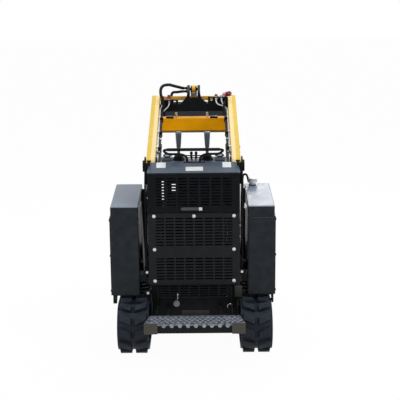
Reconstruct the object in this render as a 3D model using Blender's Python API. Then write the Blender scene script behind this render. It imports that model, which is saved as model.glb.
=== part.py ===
"""Tracked stand-on mini skid steer loader, modelled in metres with +Z up.

The machine faces +Y, so its operator step and its grilles face -Y and its right side is +X.
Each named object is one solid piece. Lengths along Y are laid out from the rear face of the two
side tanks, and the empty called machine then moves that layout so that its middle is at Y = 0.
The pieces that move hang from empties on their joints' axes, drawn in the parked pose.
"""
import bmesh
import bpy
from math import atan2, cos, degrees, hypot, pi, radians, sin, tan
from mathutils import Matrix, Vector

# Gaps between pieces, in metres
TOUCH = 0.0003
SIDE_GAP = 0.005

# Tracks and what runs inside them
TRACK_WIDTH = 0.204
TRACK_CENTRE_X = 0.401
BELT = 0.020
LUG_HEIGHT = 0.025
LUG_COUNT = 36
LUG_SHARE = 0.56
LUG_SKEW = 0.030
LUG_DRAFT = 0.004
SPROCKET_Y = -0.040
IDLER_Y = 1.040
SPROCKET_R = 0.135
IDLER_R = 0.120
ROLLER_R = 0.048
# Room for the flat facets of the belt's inner face
WHEEL_GAP = 0.002
ROLLER_COUNT = 5

# Lower frame
CHASSIS_HALF_X = 0.285
CHASSIS_REAR_Y = 0.030
CHASSIS_FRONT_Y = 1.060
CHASSIS_LOW_Z = 0.150
CHASSIS_TOP_Z = 0.440
CHASSIS_WALL = 0.008

# Loader arms, their pivot and the joint ranges they are drawn for
ARM_IN_X = 0.252
ARM_OUT_X = 0.308
ARM_DEPTH = 0.120
ARM_WALL = 0.009
ARM_TIP_DEPTH = 0.096
ARM_RISE_DEG = 16.2
PIVOT_Y = 0.150
PIVOT_Z = 1.215
PIVOT_PIN_R = 0.025
KNEE_Y = 1.116
HITCH_Y = 1.720
HITCH_Z = 1.295
HITCH_PIN_R = 0.018
PIN_GAP = 0.0004

# Body between the arms
DECK_REAR_Z = 1.205
DECK_Z = 1.250
DECK_SLOPE_Y = 0.085
DECK_FRONT_Y = 0.330
DECK_SHEET = 0.006
DECK_REAR_HALF_X = 0.300
DECK_STRIP_HALF_X = DECK_REAR_HALF_X - 0.016
PANEL_HALF_X = DECK_REAR_HALF_X - 0.003
FRAME_HALF_X = DECK_REAR_HALF_X - 0.001
PANEL_BACK_Y = -0.014
PANEL_SHEET = 0.0135
DOOR_BACK_Y = -0.020
DOOR_TOP_Z = DECK_REAR_Z - 0.0115
DOOR_LOW_Z = DOOR_TOP_Z - 0.253
LOWER_PANEL_LOW_Z = 0.452
LOWER_PANEL_TOP_Z = DOOR_LOW_Z - 0.0055
COVER_HALF_X = 0.215
SLOT_PITCH = 0.0197
SLOT_HEIGHT = 0.0092
COVER_SHEET = 0.008
COVER_FRONT_Y = 0.800
COVER_TOP_Z = DECK_Z - 0.170

# Side tanks: the left one stands a little further out
TANK_PLACES = {"left": (0.362, 0.543), "right": (0.350, 0.524)}
TANK_LOW_Z = 0.372
TANK_REAR_TOP_Z = 0.976
TANK_FRONT_TOP_Z = TANK_REAR_TOP_Z + 0.036
TANK_LENGTH = 0.540
TANK_PLATE = 0.0075
TANK_PLATE_TOP_Z = TANK_REAR_TOP_Z - 0.071
CAP_PLACE = (TANK_PLACES["right"][0] + 0.054, TANK_LENGTH - 0.043)
CAP_SEAT_Z = TANK_FRONT_TOP_Z + 0.002

# Operator step
STEP_REAR_Y = -0.355
STEP_FRONT_Y = -0.205
STEP_REAR_HALF_X = 0.320
STEP_FRONT_HALF_X = 0.288
STEP_TOP_Z = 0.305
STEP_LOW_Z = 0.235
STEP_SHEET = 0.006
STEP_CAP_X = 0.235

# Lift cylinders, one in the plane of each arm
LIFT_BASE_Y = 0.190
LIFT_BASE_Z = 0.605
LIFT_EYE_R = 0.350
LIFT_EYE_DEG = 10.0
LIFT_BARREL_R = 0.027
LIFT_ROD_R = 0.016
LIFT_PIN_R = 0.016
LIFT_BARREL_LENGTH = 0.440
# Distance of the rod's inner end from the base pin in the parked pose
LIFT_ROD_LOW = 0.298

# Tilt cylinder on the centre line
TILT_BASE_Y = 1.170
TILT_BASE_Z = 1.598
TILT_BARREL_R = 0.024
TILT_ROD_R = 0.013
TILT_PIN_R = 0.012
TILT_BARREL_LENGTH = 0.300
PLATE_BACK_DEG = 55.0
PLATE_LUG_UP = 0.120
PLATE_LUG_FORWARD = 0.030
PLATE_BACK = 0.070
PLATE_SHEET = 0.012
PLATE_LOW = -0.145
PLATE_HIGH = 0.095
PLATE_HALF_X = 0.322

# Cross members between the arms, as (low Y, low Z, high Y, high Z)
CROSS_TUBE = (1.110, 1.296, 1.225, 1.386)
UPPER_BAR = (1.127, 1.519, 1.157, 1.549)
BRACKET_BAND = (1.075, 1.445, 1.120, 1.492)
BRACKET_HALF_X = 0.048

# Fluid lines along the inner faces of the arms
PIPE_R = 0.005
HOSE_R = 0.008
PIPE_X = ARM_IN_X - 0.0065
HOSE_X = PIPE_X - PIPE_R - HOSE_R - 0.0022


class Finish:
    """A painted, plated or rubber surface: sRGB hex colour, roughness and metallic share."""

    table = {
        # name: (sRGB hex, roughness, metallic)
        "black_paint": ("17181A", 0.28, 0.0),
        "frame_black": ("1D1E20", 0.45, 0.0),
        "yellow_paint": ("F2A50C", 0.35, 0.0),
        "rubber": ("1B1D22", 0.80, 0.0),
        "steel": ("8C9096", 0.35, 1.0),
        "zinc": ("C9CDD2", 0.30, 1.0),
        "chrome": ("E4E6E8", 0.10, 1.0),
        "grey_plastic": ("4A5260", 0.50, 0.0),
        "hose_rubber": ("121316", 0.60, 0.0),
        "lamp_lens": ("E8ECF0", 0.10, 0.0),
        "engine_grey": ("54585C", 0.60, 0.2),
    }

    @staticmethod
    def get(name):
        """Return the material of that name, made on its first use."""
        if name in bpy.data.materials:
            return bpy.data.materials[name]
        colour, roughness, metallic = Finish.table[name]
        material = bpy.data.materials.new(name)
        material.use_nodes = True
        shader = material.node_tree.nodes["Principled BSDF"]
        srgb = [int(colour[i:i + 2], 16) / 255.0 for i in (0, 2, 4)]
        linear = [c / 12.92 if c <= 0.04045 else ((c + 0.055) / 1.055) ** 2.4 for c in srgb]
        shader.inputs["Base Color"].default_value = (*linear, 1.0)
        shader.inputs["Roughness"].default_value = roughness
        shader.inputs["Metallic"].default_value = metallic
        return material


# Plain solids, each returned as a mesh

def to_mesh(bm):
    """Turn a bmesh into a mesh with its faces pointing out."""
    bmesh.ops.recalc_face_normals(bm, faces=bm.faces)
    mesh = bpy.data.meshes.new("solid")
    bm.to_mesh(mesh)
    bm.free()
    return mesh


def hexahedron(corners):
    """Solid on eight corners: four below and four above, both in the same turning order."""
    bm = bmesh.new()
    v = [bm.verts.new(c) for c in corners]
    for face in ((3, 2, 1, 0), (4, 5, 6, 7), (0, 1, 5, 4), (1, 2, 6, 5), (2, 3, 7, 6), (3, 0, 4, 7)):
        bm.faces.new([v[i] for i in face])
    return to_mesh(bm)


def box(low, high):
    """Box between two opposite corners."""
    (x0, y0, z0), (x1, y1, z1) = low, high
    plan = ((x0, y0), (x1, y0), (x1, y1), (x0, y1))
    return hexahedron([(x, y, z) for z in (z0, z1) for x, y in plan])


def softened(mesh, width, segments=1):
    """Same convex solid with its edges bevelled."""
    bm = bmesh.new()
    bm.from_mesh(mesh)
    bmesh.ops.bevel(bm, geom=bm.edges[:], offset=width, segments=segments, profile=0.5, affect="EDGES")
    return to_mesh(bm)


def extrusion(outline, origin, u, v, depth):
    """Extrude a flat outline of (u, v) points by the vector depth."""
    bm = bmesh.new()
    origin, u, v, depth = Vector(origin), Vector(u), Vector(v), Vector(depth)
    low = [bm.verts.new(origin + u * a + v * b) for a, b in outline]
    high = [bm.verts.new(vert.co + depth) for vert in low]
    bm.faces.new(low[::-1])
    bm.faces.new(high)
    for i, vert in enumerate(low):
        j = (i + 1) % len(low)
        bm.faces.new((vert, low[j], high[j], high[i]))
    return to_mesh(bm)


def side_plate(outline, x0, x1):
    """Plate across X whose outline is a list of (y, z) points."""
    return extrusion(outline, (x0, 0, 0), (0, 1, 0), (0, 0, 1), (x1 - x0, 0, 0))


def plan_plate(outline, z0, z1):
    """Level plate whose outline is a list of (x, y) points."""
    return extrusion(outline, (0, 0, z0), (1, 0, 0), (0, 1, 0), (0, 0, z1 - z0))


def rear_plate(outline, y0, y1):
    """Upright plate facing the rear, whose outline is a list of (x, z) points."""
    return extrusion(outline, (0, y0, 0), (1, 0, 0), (0, 0, 1), (0, y1 - y0, 0))


def arc(centre, radius, start_deg, end_deg, steps):
    """Points on an arc, both ends included."""
    return [(centre[0] + radius * cos(radians(start_deg + (end_deg - start_deg) * i / steps)),
             centre[1] + radius * sin(radians(start_deg + (end_deg - start_deg) * i / steps)))
            for i in range(steps + 1)]


def rounded(x0, z0, x1, z1, radius, steps=4):
    """Outline of a rectangle with round corners."""
    points = arc((x1 - radius, z0 + radius), radius, -90, 0, steps)
    points += arc((x1 - radius, z1 - radius), radius, 0, 90, steps)
    points += arc((x0 + radius, z1 - radius), radius, 90, 180, steps)
    points += arc((x0 + radius, z0 + radius), radius, 180, 270, steps)
    return points


def bar(start, end, radius, sides=16, end_radius=None):
    """Round bar, or cone frustum, between two points."""
    start, end = Vector(start), Vector(end)
    bm = bmesh.new()
    bmesh.ops.create_cone(bm, cap_ends=True, segments=sides, radius1=radius,
                          radius2=radius if end_radius is None else end_radius,
                          depth=(end - start).length)
    turn = (end - start).to_track_quat("Z", "X").to_matrix().to_4x4()
    bmesh.ops.transform(bm, matrix=Matrix.Translation((start + end) / 2) @ turn, verts=bm.verts)
    return to_mesh(bm)


def smooth_route(points, steps=6):
    """Points of a smooth curve through the given ones."""
    pts = [Vector(p) for p in points]
    ends = [2 * pts[0] - pts[1]] + pts + [2 * pts[-1] - pts[-2]]
    route = []
    for a, b, c, d in zip(ends, ends[1:], ends[2:], ends[3:]):
        for i in range(steps):
            t = i / steps
            route.append(0.5 * (2 * b + (c - a) * t + (2 * a - 5 * b + 4 * c - d) * t * t
                                + (3 * b - a - 3 * c + d) * t ** 3))
    return route + [pts[-1]]


def tube(route, radius, sides=10):
    """Round tube with flat ends along a list of points."""
    route = [Vector(p) for p in route]
    bm = bmesh.new()
    rings = []
    side = None
    for i, point in enumerate(route):
        ahead = (route[min(i + 1, len(route) - 1)] - route[max(i - 1, 0)]).normalized()
        side = ahead.orthogonal() if side is None else side - ahead * side.dot(ahead)
        side = side.normalized()
        up = ahead.cross(side)
        turns = [2 * pi * k / sides for k in range(sides)]
        rings.append([bm.verts.new(point + radius * (side * cos(a) + up * sin(a))) for a in turns])
    for low, high in zip(rings, rings[1:]):
        for k in range(sides):
            n = (k + 1) % sides
            bm.faces.new((low[k], low[n], high[n], high[k]))
    bm.faces.new(rings[0][::-1])
    bm.faces.new(rings[-1])
    return to_mesh(bm)


def slotted_sheet(x_cuts, z_cuts, y0, y1):
    """Sheet across Y with a through slot in each cell that x_cuts and z_cuts mark as open.

    Each list has rows of (start, is_open) in rising order and ends with (end, False).
    """
    bm = bmesh.new()
    grid = {}

    def vert(i, j, back):
        key = (i, j, back)
        if key not in grid:
            grid[key] = bm.verts.new((x_cuts[i][0], y0 if back else y1, z_cuts[j][0]))
        return grid[key]

    columns, rows = len(x_cuts) - 1, len(z_cuts) - 1
    solid = {(i, j) for i in range(columns) for j in range(rows) if not (x_cuts[i][1] and z_cuts[j][1])}
    for i, j in solid:
        corners = ((i, j), (i + 1, j), (i + 1, j + 1), (i, j + 1))
        bm.faces.new([vert(a, b, True) for a, b in corners])
        bm.faces.new([vert(a, b, False) for a, b in reversed(corners)])
        for k, (di, dj) in enumerate(((0, -1), (1, 0), (0, 1), (-1, 0))):
            if (i + di, j + dj) not in solid:
                (a, b), (c, d) = corners[k], corners[(k + 1) % 4]
                bm.faces.new((vert(c, d, True), vert(a, b, True), vert(a, b, False), vert(c, d, False)))
    return to_mesh(bm)


# Joining, cutting and naming

def combine(meshes, cutters=()):
    """Unite overlapping meshes, take the cutters away and return the finished mesh."""
    scene = bpy.context.scene
    made = []
    for mesh in [*meshes, *cutters]:
        made.append(bpy.data.objects.new("operand", mesh))
        scene.collection.objects.link(made[-1])
    base = made[0]
    for i, operand in enumerate(made[1:], start=1):
        modifier = base.modifiers.new("step", "BOOLEAN")
        modifier.operation = "UNION" if i < len(meshes) else "DIFFERENCE"
        modifier.solver = "EXACT"
        modifier.object = operand
    bpy.context.view_layer.update()
    mesh = bpy.data.meshes.new_from_object(base.evaluated_get(bpy.context.evaluated_depsgraph_get()))
    for operand in made:
        bpy.data.objects.remove(operand)
    return mesh


def frame_empty(name, location, parent=None):
    """Empty at a point of the layout; pieces on it keep their meshes about that point."""
    empty = bpy.data.objects.new(name, None)
    bpy.context.scene.collection.objects.link(empty)
    empty.parent = parent
    own = Vector(location)
    empty["layout"] = own
    empty.location = own - (Vector(parent["layout"]) if parent else Vector())
    return empty


def piece(name, mesh, finish, carrier, smooth=False, bevel=0.0):
    """Name a mesh as one piece of the machine and hang it on its carrier."""
    own = bpy.data.objects.new(name, mesh)
    bpy.context.scene.collection.objects.link(own)
    mesh.name = name
    mesh.transform(Matrix.Translation(-Vector(carrier["layout"])))
    mesh.materials.clear()
    mesh.materials.append(Finish.get(finish))
    own.parent = carrier
    if bevel:
        edge = own.modifiers.new("edges", "BEVEL")
        edge.width = bevel
        edge.segments = 1
        edge.limit_method = "ANGLE"
        edge.angle_limit = radians(50)
    if smooth:
        mesh.shade_smooth()
        mesh.set_sharp_from_angle(angle=radians(35))
    return own


# Layout worked out from the driving sizes

def toward(start, angle_deg, distance):
    """Point at a distance from another, at an angle above +Y."""
    return (start[0] + distance * cos(radians(angle_deg)), start[1] + distance * sin(radians(angle_deg)))


PIVOT = (PIVOT_Y, PIVOT_Z)
HITCH = (HITCH_Y, HITCH_Z)
KNEE = (KNEE_Y, PIVOT_Z + (KNEE_Y - PIVOT_Y) * tan(radians(ARM_RISE_DEG)))
ARM_FALL_DEG = degrees(atan2(HITCH[1] - KNEE[1], HITCH[0] - KNEE[0]))
LIFT_BASE = (LIFT_BASE_Y, LIFT_BASE_Z)
LIFT_EYE = toward(PIVOT, LIFT_EYE_DEG, LIFT_EYE_R)
LIFT_DEG = degrees(atan2(LIFT_EYE[1] - LIFT_BASE[1], LIFT_EYE[0] - LIFT_BASE[0]))
PLATE_UP_DEG = 90.0 + PLATE_BACK_DEG
TILT_BASE = (TILT_BASE_Y, TILT_BASE_Z)
TILT_EYE = toward(toward(HITCH, PLATE_UP_DEG, PLATE_LUG_UP), PLATE_UP_DEG - 90.0, PLATE_LUG_FORWARD)
TILT_DEG = degrees(atan2(TILT_EYE[1] - TILT_BASE[1], TILT_EYE[0] - TILT_BASE[0]))
TRACK_Z = LUG_HEIGHT + BELT
PLATE_FRONT_Y = toward(toward(HITCH, PLATE_UP_DEG, PLATE_LOW), PLATE_UP_DEG - 90.0,
                       PLATE_BACK + PLATE_SHEET)[0]
LAYOUT_MIDDLE_Y = (STEP_REAR_Y + PLATE_FRONT_Y) / 2


def sides():
    """The left and right side as (word, sign of X)."""
    return (("left", -1), ("right", 1))


def mirrored(x0, x1, side):
    """Two X values on one side, in rising order."""
    return sorted((side * x0, side * x1))


# Undercarriage

def track_route():
    """Inner surface of a track as a function of the distance along it, with its length."""
    rear = (SPROCKET_Y, TRACK_Z + SPROCKET_R)
    front = (IDLER_Y, TRACK_Z + IDLER_R)
    span = hypot(front[0] - rear[0], front[1] - rear[1])
    lean = degrees(atan2(front[1] - rear[1], front[0] - rear[0]))
    open_deg = degrees(atan2(SPROCKET_R - IDLER_R, (span ** 2 - (SPROCKET_R - IDLER_R) ** 2) ** 0.5))
    straight = (span ** 2 - (SPROCKET_R - IDLER_R) ** 2) ** 0.5
    top_deg = 90.0 + lean - open_deg
    low_deg = lean - 90.0 + open_deg
    front_turn = top_deg - low_deg
    parts = (straight, radians(front_turn) * (IDLER_R + BELT), straight,
             radians(360.0 - front_turn) * (SPROCKET_R + BELT))

    def at(distance, outward):
        """Point at that distance along, moved outward from the inner surface."""
        s = distance % sum(parts)
        if s < parts[0]:
            start = toward(rear, low_deg, SPROCKET_R + outward)
            return toward(start, low_deg + 90.0, s)
        s -= parts[0]
        if s < parts[1]:
            return toward(front, low_deg + front_turn * s / parts[1], IDLER_R + outward)
        s -= parts[1]
        if s < parts[2]:
            start = toward(front, top_deg, IDLER_R + outward)
            return toward(start, top_deg + 90.0, s)
        s -= parts[2]
        return toward(rear, top_deg + (360.0 - front_turn) * s / parts[3], SPROCKET_R + outward)

    return at, sum(parts)


def track_mesh(side):
    """Rubber track as one closed loop with chevron lugs on both sides of a centre groove."""
    at, length = track_route()
    half = TRACK_WIDTH / 2
    # Across the belt: distance from its middle, and how far the lug edge lags behind there
    across = [(-half, 1.0), (-0.88 * half, 0.92), (-0.10 * half, 0.0), (0.10 * half, 0.0),
              (0.88 * half, 0.92), (half, 1.0)]
    lugs_on = (1, 3)
    pitch = length / LUG_COUNT
    marks = [pitch * (i + share) for i in range(LUG_COUNT) for share in (0.0, LUG_SHARE)]
    bm = bmesh.new()

    def point(x, lag, s, outward):
        y, z = at(s - lag * LUG_SKEW, outward)
        return bm.verts.new((side * TRACK_CENTRE_X + x, y, z))

    outer = [[point(x, lag, s, BELT) for x, lag in across] for s in marks]
    inner = [[point(x, lag, s, 0.0) for x, lag in (across[0], across[-1])] for s in marks]
    count = len(marks)
    for i in range(count):
        n = (i + 1) % count
        for k in range(len(across) - 1):
            if i % 2 or k not in lugs_on:
                bm.faces.new((outer[i][k], outer[n][k], outer[n][k + 1], outer[i][k + 1]))
                continue
            top = []
            corners = ((i, k, 1, 1), (n, k, -1, 1), (n, k + 1, -1, -1), (i, k + 1, 1, -1))
            for row, column, along, inward in corners:
                x, lag = across[column]
                top.append(point(x + inward * LUG_DRAFT, lag, marks[row] + along * LUG_DRAFT,
                                 BELT + LUG_HEIGHT))
            base = [outer[row][column] for row, column, _, _ in corners]
            bm.faces.new(top)
            for a in range(4):
                b = (a + 1) % 4
                bm.faces.new((base[a], base[b], top[b], top[a]))
        bm.faces.new((inner[i][0], inner[i][1], inner[n][1], inner[n][0]))
        bm.faces.new((outer[i][0], inner[i][0], inner[n][0], outer[n][0]))
        bm.faces.new((outer[i][-1], outer[n][-1], inner[n][1], inner[i][1]))
    bmesh.ops.triangulate(bm, faces=bm.faces)
    return to_mesh(bm)


def toothed_wheel(y, z, radius, root, teeth, x0, x1, hub_r, hub_x0, hub_x1):
    """Sprocket disc with square teeth and a hub."""
    outline = []
    step = 360.0 / teeth
    for i in range(teeth):
        for share, r in ((0.0, root), (0.16, radius), (0.40, radius), (0.56, root)):
            outline.append(toward((y, z), step * (i + share), r))
    disc = side_plate(outline, x0, x1)
    hub = bar((hub_x0, y, z), (hub_x1, y, z), hub_r, 20)
    holes = [bar((x0 - 0.01, *toward((y, z), 60.0 * k, 0.62 * root)),
                 (x1 + 0.01, *toward((y, z), 60.0 * k, 0.62 * root)), 0.13 * root, 10) for k in range(6)]
    return combine([disc, hub], holes)


def build_undercarriage(machine):
    """Tracks, sprockets, idlers and the roller frames between them."""
    sprocket_z, idler_z = TRACK_Z + SPROCKET_R, TRACK_Z + IDLER_R
    for word, side in sides():
        middle = side * TRACK_CENTRE_X
        piece(f"track_{word}", track_mesh(side), "rubber", machine)
        x0, x1 = middle - 0.022, middle + 0.022
        hub = mirrored(CHASSIS_HALF_X + TOUCH, TRACK_CENTRE_X + 0.045, side)
        piece(f"drive_sprocket_{word}",
              toothed_wheel(SPROCKET_Y, sprocket_z, SPROCKET_R - WHEEL_GAP, SPROCKET_R - 0.020, 13,
                            x0, x1, 0.052, *hub), "frame_black", machine)
        rim = bar((middle - 0.040, IDLER_Y, idler_z), (middle + 0.040, IDLER_Y, idler_z),
                  IDLER_R - WHEEL_GAP, 36)
        grooves = [bar((middle + s * 0.041, IDLER_Y, idler_z), (middle + s * 0.016, IDLER_Y, idler_z),
                       IDLER_R - 0.026, 24) for s in (-1, 1)]
        axle = bar((middle - 0.046, IDLER_Y, idler_z), (middle + 0.046, IDLER_Y, idler_z), 0.030, 16)
        piece(f"front_idler_{word}", combine([combine([rim], grooves), axle]), "frame_black",
              machine, smooth=True)
        build_roller_frame(machine, word, side)


def build_roller_frame(machine, word, side):
    """Beam inside a track with its rollers, its idler fork and its two arms to the lower frame."""
    middle = side * TRACK_CENTRE_X
    rear_y = SPROCKET_Y + SPROCKET_R + 0.030
    front_y = IDLER_Y - IDLER_R - 0.020
    beam_low = TRACK_Z + 2 * ROLLER_R - 0.020
    idler_z = TRACK_Z + IDLER_R
    parts = [box((middle - 0.040, rear_y, beam_low), (middle + 0.040, front_y, 0.225))]
    fork = [(front_y - 0.050, idler_z - 0.032), (IDLER_Y + 0.030, idler_z - 0.032),
            (IDLER_Y + 0.030, idler_z + 0.032), (front_y - 0.050, idler_z + 0.032)]
    for s in (-1, 1):
        # The fork plates stand clear of the idler axle's ends
        x0, x1 = sorted((middle + s * 0.0463, middle + s * 0.056))
        parts.append(side_plate(fork, x0, x1))
        a, b = sorted((middle + s * 0.036, middle + s * 0.050))
        parts.append(box((a, front_y - 0.045, idler_z - 0.028), (b, front_y - 0.004, idler_z + 0.028)))
    step = (front_y - rear_y - 0.10) / (ROLLER_COUNT - 1)
    for i in range(ROLLER_COUNT):
        y = rear_y + 0.05 + step * i
        z = TRACK_Z + ROLLER_R + TOUCH
        parts.append(bar((middle - 0.060, y, z), (middle + 0.060, y, z), ROLLER_R, 16))
    for y in (rear_y + 0.12, front_y - 0.20):
        x0, x1 = mirrored(CHASSIS_HALF_X + TOUCH, TRACK_CENTRE_X - 0.030, side)
        parts.append(box((x0, y, 0.150), (x1, y + 0.080, 0.210)))
    piece(f"roller_frame_{word}", combine(parts), "frame_black", machine)


def build_chassis(machine):
    """Lower frame as an open tub, the towers that carry the arms and the engine's block."""
    w = CHASSIS_WALL
    tub = box((-CHASSIS_HALF_X, CHASSIS_REAR_Y, CHASSIS_LOW_Z),
              (CHASSIS_HALF_X, CHASSIS_FRONT_Y, CHASSIS_TOP_Z))
    hollow = box((-CHASSIS_HALF_X + w, CHASSIS_REAR_Y + w, CHASSIS_LOW_Z + w),
                 (CHASSIS_HALF_X - w, CHASSIS_FRONT_Y - w, CHASSIS_TOP_Z + w))
    rear_opening = box((-0.225, CHASSIS_REAR_Y - w, CHASSIS_TOP_Z - 0.085),
                       (0.225, CHASSIS_REAR_Y + 2 * w, CHASSIS_TOP_Z - 0.012))
    # Drive plates run on behind the tub and carry the sprockets' hubs
    hub_z = TRACK_Z + SPROCKET_R
    drive_plate = [(CHASSIS_REAR_Y + w, CHASSIS_LOW_Z), (SPROCKET_Y, hub_z - 0.065),
                   (SPROCKET_Y - 0.060, hub_z - 0.030), (SPROCKET_Y - 0.060, hub_z + 0.050),
                   (CHASSIS_REAR_Y - 0.040, CHASSIS_TOP_Z - 0.110),
                   (CHASSIS_REAR_Y + w, CHASSIS_TOP_Z - 0.090)]
    plates = [side_plate(drive_plate, *mirrored(CHASSIS_HALF_X - w, CHASSIS_HALF_X, s)) for _, s in sides()]
    piece("chassis_frame", combine([tub, *plates], [hollow, rear_opening]), "frame_black", machine)
    piece("engine_block", box((-0.190, 0.120, CHASSIS_LOW_Z + w + TOUCH), (0.190, 0.640, 0.880)),
          "engine_grey", machine, bevel=0.02)
    outline = [(0.030, CHASSIS_TOP_Z + TOUCH), (0.470, CHASSIS_TOP_Z + TOUCH), (0.470, 0.520), (0.330, 0.800),
               (0.230, PIVOT_Z - 0.060)]
    outline += arc(PIVOT, 0.062, -20, 200, 12)
    outline += [(0.030, PIVOT_Z - 0.120)]
    outer = ARM_OUT_X + SIDE_GAP
    for word, side in sides():
        parts = []
        for near, far in ((ARM_IN_X - SIDE_GAP - 0.010, ARM_IN_X - SIDE_GAP), (outer, outer + 0.008)):
            parts.append(side_plate(outline, *mirrored(near, far, side)))
        x0, x1 = mirrored(ARM_IN_X - SIDE_GAP - 0.006, outer + 0.004, side)
        parts.append(box((x0, 0.040, CHASSIS_TOP_Z + TOUCH), (x1, 0.460, CHASSIS_TOP_Z + 0.014)))
        parts.append(bar((x0, *PIVOT), (x1, *PIVOT), PIVOT_PIN_R, 20))
        parts.append(bar((x0, *LIFT_BASE), (x1, *LIFT_BASE), LIFT_PIN_R, 16))
        cap = mirrored(outer + 0.004, outer + 0.020, side)
        parts.append(bar((cap[0], *PIVOT), (cap[1], *PIVOT), 0.038, 20))
        # Flange that closes the tower behind the arm's rounded end, beside the deck's strip
        flange = mirrored(DECK_STRIP_HALF_X + 0.004, outer + 0.008, side)
        parts.append(box((flange[0], PIVOT_Y - 0.0685, PIVOT_Z - 0.110),
                         (flange[1], PIVOT_Y - 0.0640, DECK_Z - 0.002)))
        piece(f"arm_tower_{word}", combine(parts), "black_paint", machine)


# Body panels and controls

def slot_rows(low, count, pitch, height):
    """Places of equal slots as rows of (start, height)."""
    return [(low + pitch * i, height) for i in range(count)]


def cuts_from_places(start, places, end):
    """Cut list for slotted_sheet from rows of (place, width)."""
    cuts = [(start, False)]
    for place, width in places:
        cuts += [(place, True), (place + width, False)]
    return cuts + [(end, False)]


def build_panels(machine):
    """Slotted rear panels, covers between the arms and the top deck."""
    frame_outer = box((-FRAME_HALF_X, 0.0, LOWER_PANEL_LOW_Z - 0.010),
                      (FRAME_HALF_X, 0.022, DECK_REAR_Z - DECK_SHEET - TOUCH))
    opening_x = PANEL_HALF_X - 0.071
    opening = box((-opening_x, -0.010, LOWER_PANEL_LOW_Z + 0.012), (opening_x, 0.040, DOOR_TOP_Z - 0.0075))
    piece("rear_frame", combine([frame_outer], [opening]), "black_paint", machine)

    # Lower panel: eight columns of slots in two blocks of rows
    column_pitch = PANEL_HALF_X * 0.2138
    slot_width = column_pitch * 0.835
    columns = slot_rows(-3.5 * column_pitch - slot_width / 2, 8, column_pitch, slot_width)
    low = LOWER_PANEL_LOW_Z + 0.034
    rows = slot_rows(low, 8, SLOT_PITCH, SLOT_HEIGHT) + slot_rows(low + 0.2305, 10, SLOT_PITCH, SLOT_HEIGHT)
    sheet = slotted_sheet(cuts_from_places(-PANEL_HALF_X, columns, PANEL_HALF_X),
                          cuts_from_places(LOWER_PANEL_LOW_Z, rows, LOWER_PANEL_TOP_Z),
                          PANEL_BACK_Y, PANEL_BACK_Y + PANEL_SHEET)
    piece("rear_lower_panel", sheet, "black_paint", machine)

    # Recessed grille over the step
    grille_columns = slot_rows(-0.228, 7, 0.0655, 0.0560)
    grille_rows = slot_rows(CHASSIS_TOP_Z - 0.083, 5, 0.0165, 0.0080)
    grille = slotted_sheet(cuts_from_places(-0.242, grille_columns, 0.242),
                           cuts_from_places(CHASSIS_TOP_Z - 0.094, grille_rows, CHASSIS_TOP_Z - 0.001),
                           CHASSIS_REAR_Y - 0.008, CHASSIS_REAR_Y - TOUCH)
    piece("lower_grille", grille, "frame_black", machine)

    cover_low = CHASSIS_TOP_Z + TOUCH
    hood_drop = 0.060
    for word, side in sides():
        x0, x1 = mirrored(COVER_HALF_X - COVER_SHEET, COVER_HALF_X, side)
        plate = side_plate([(0.0223, cover_low), (COVER_FRONT_Y - 0.0105, cover_low),
                            (COVER_FRONT_Y - 0.0105, COVER_TOP_Z - hood_drop),
                            (DECK_FRONT_Y, COVER_TOP_Z + 0.020),
                            (0.150, DECK_Z - 0.070), (0.0223, DECK_Z - 0.070)], x0, x1)
        louvres = [box((x0 - 0.01, 0.52, COVER_TOP_Z - 0.420 + 0.035 * i),
                       (x1 + 0.01, 0.70, COVER_TOP_Z - 0.408 + 0.035 * i)) for i in range(5)]
        # Air outlet high in the cover's side, seen through the door's slots
        louvres.append(box((x0 - 0.01, 0.330, COVER_TOP_Z - 0.225), (x1 + 0.01, 0.620, COVER_TOP_Z - 0.050)))
        piece(f"side_cover_{word}", combine([plate], louvres), "black_paint", machine)
    front = box((-COVER_HALF_X, COVER_FRONT_Y - 0.010, cover_low),
                (COVER_HALF_X, COVER_FRONT_Y, COVER_TOP_Z - hood_drop))
    vents = [box((-0.15, COVER_FRONT_Y - 0.03, COVER_TOP_Z - 0.480 + 0.035 * i),
                 (0.15, COVER_FRONT_Y + 0.02, COVER_TOP_Z - 0.466 + 0.035 * i)) for i in range(7)]
    vents.append(box((-0.164, COVER_FRONT_Y - 0.03, COVER_TOP_Z - 0.190),
                     (-0.122, COVER_FRONT_Y + 0.02, COVER_TOP_Z - 0.112)))
    piece("front_cover", combine([front], vents), "black_paint", machine)
    top = side_plate([(DECK_FRONT_Y + TOUCH, COVER_TOP_Z + 0.0205),
                      (COVER_FRONT_Y, COVER_TOP_Z - hood_drop + 0.0005),
                      (COVER_FRONT_Y, COVER_TOP_Z - hood_drop + 0.0085),
                      (DECK_FRONT_Y + TOUCH, COVER_TOP_Z + 0.0285)], -COVER_HALF_X, COVER_HALF_X)
    piece("engine_hood", top, "black_paint", machine)
    apron = side_plate([(COVER_FRONT_Y + TOUCH, cover_low), (CHASSIS_FRONT_Y, cover_low),
                        (CHASSIS_FRONT_Y, cover_low + 0.006), (COVER_FRONT_Y + TOUCH, cover_low + 0.060)],
                       -CHASSIS_HALF_X, CHASSIS_HALF_X)
    piece("front_apron", apron, "black_paint", machine)
    build_deck(machine)
    for word, side in sides():
        lamp_z = COVER_TOP_Z - 0.225
        lamp_x = side * 0.160
        lamp = bar((lamp_x, COVER_FRONT_Y + TOUCH, lamp_z),
                   (lamp_x, COVER_FRONT_Y + 0.030, lamp_z), 0.030, 20)
        piece(f"work_lamp_{word}", lamp, "lamp_lens", machine, smooth=True)


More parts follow.
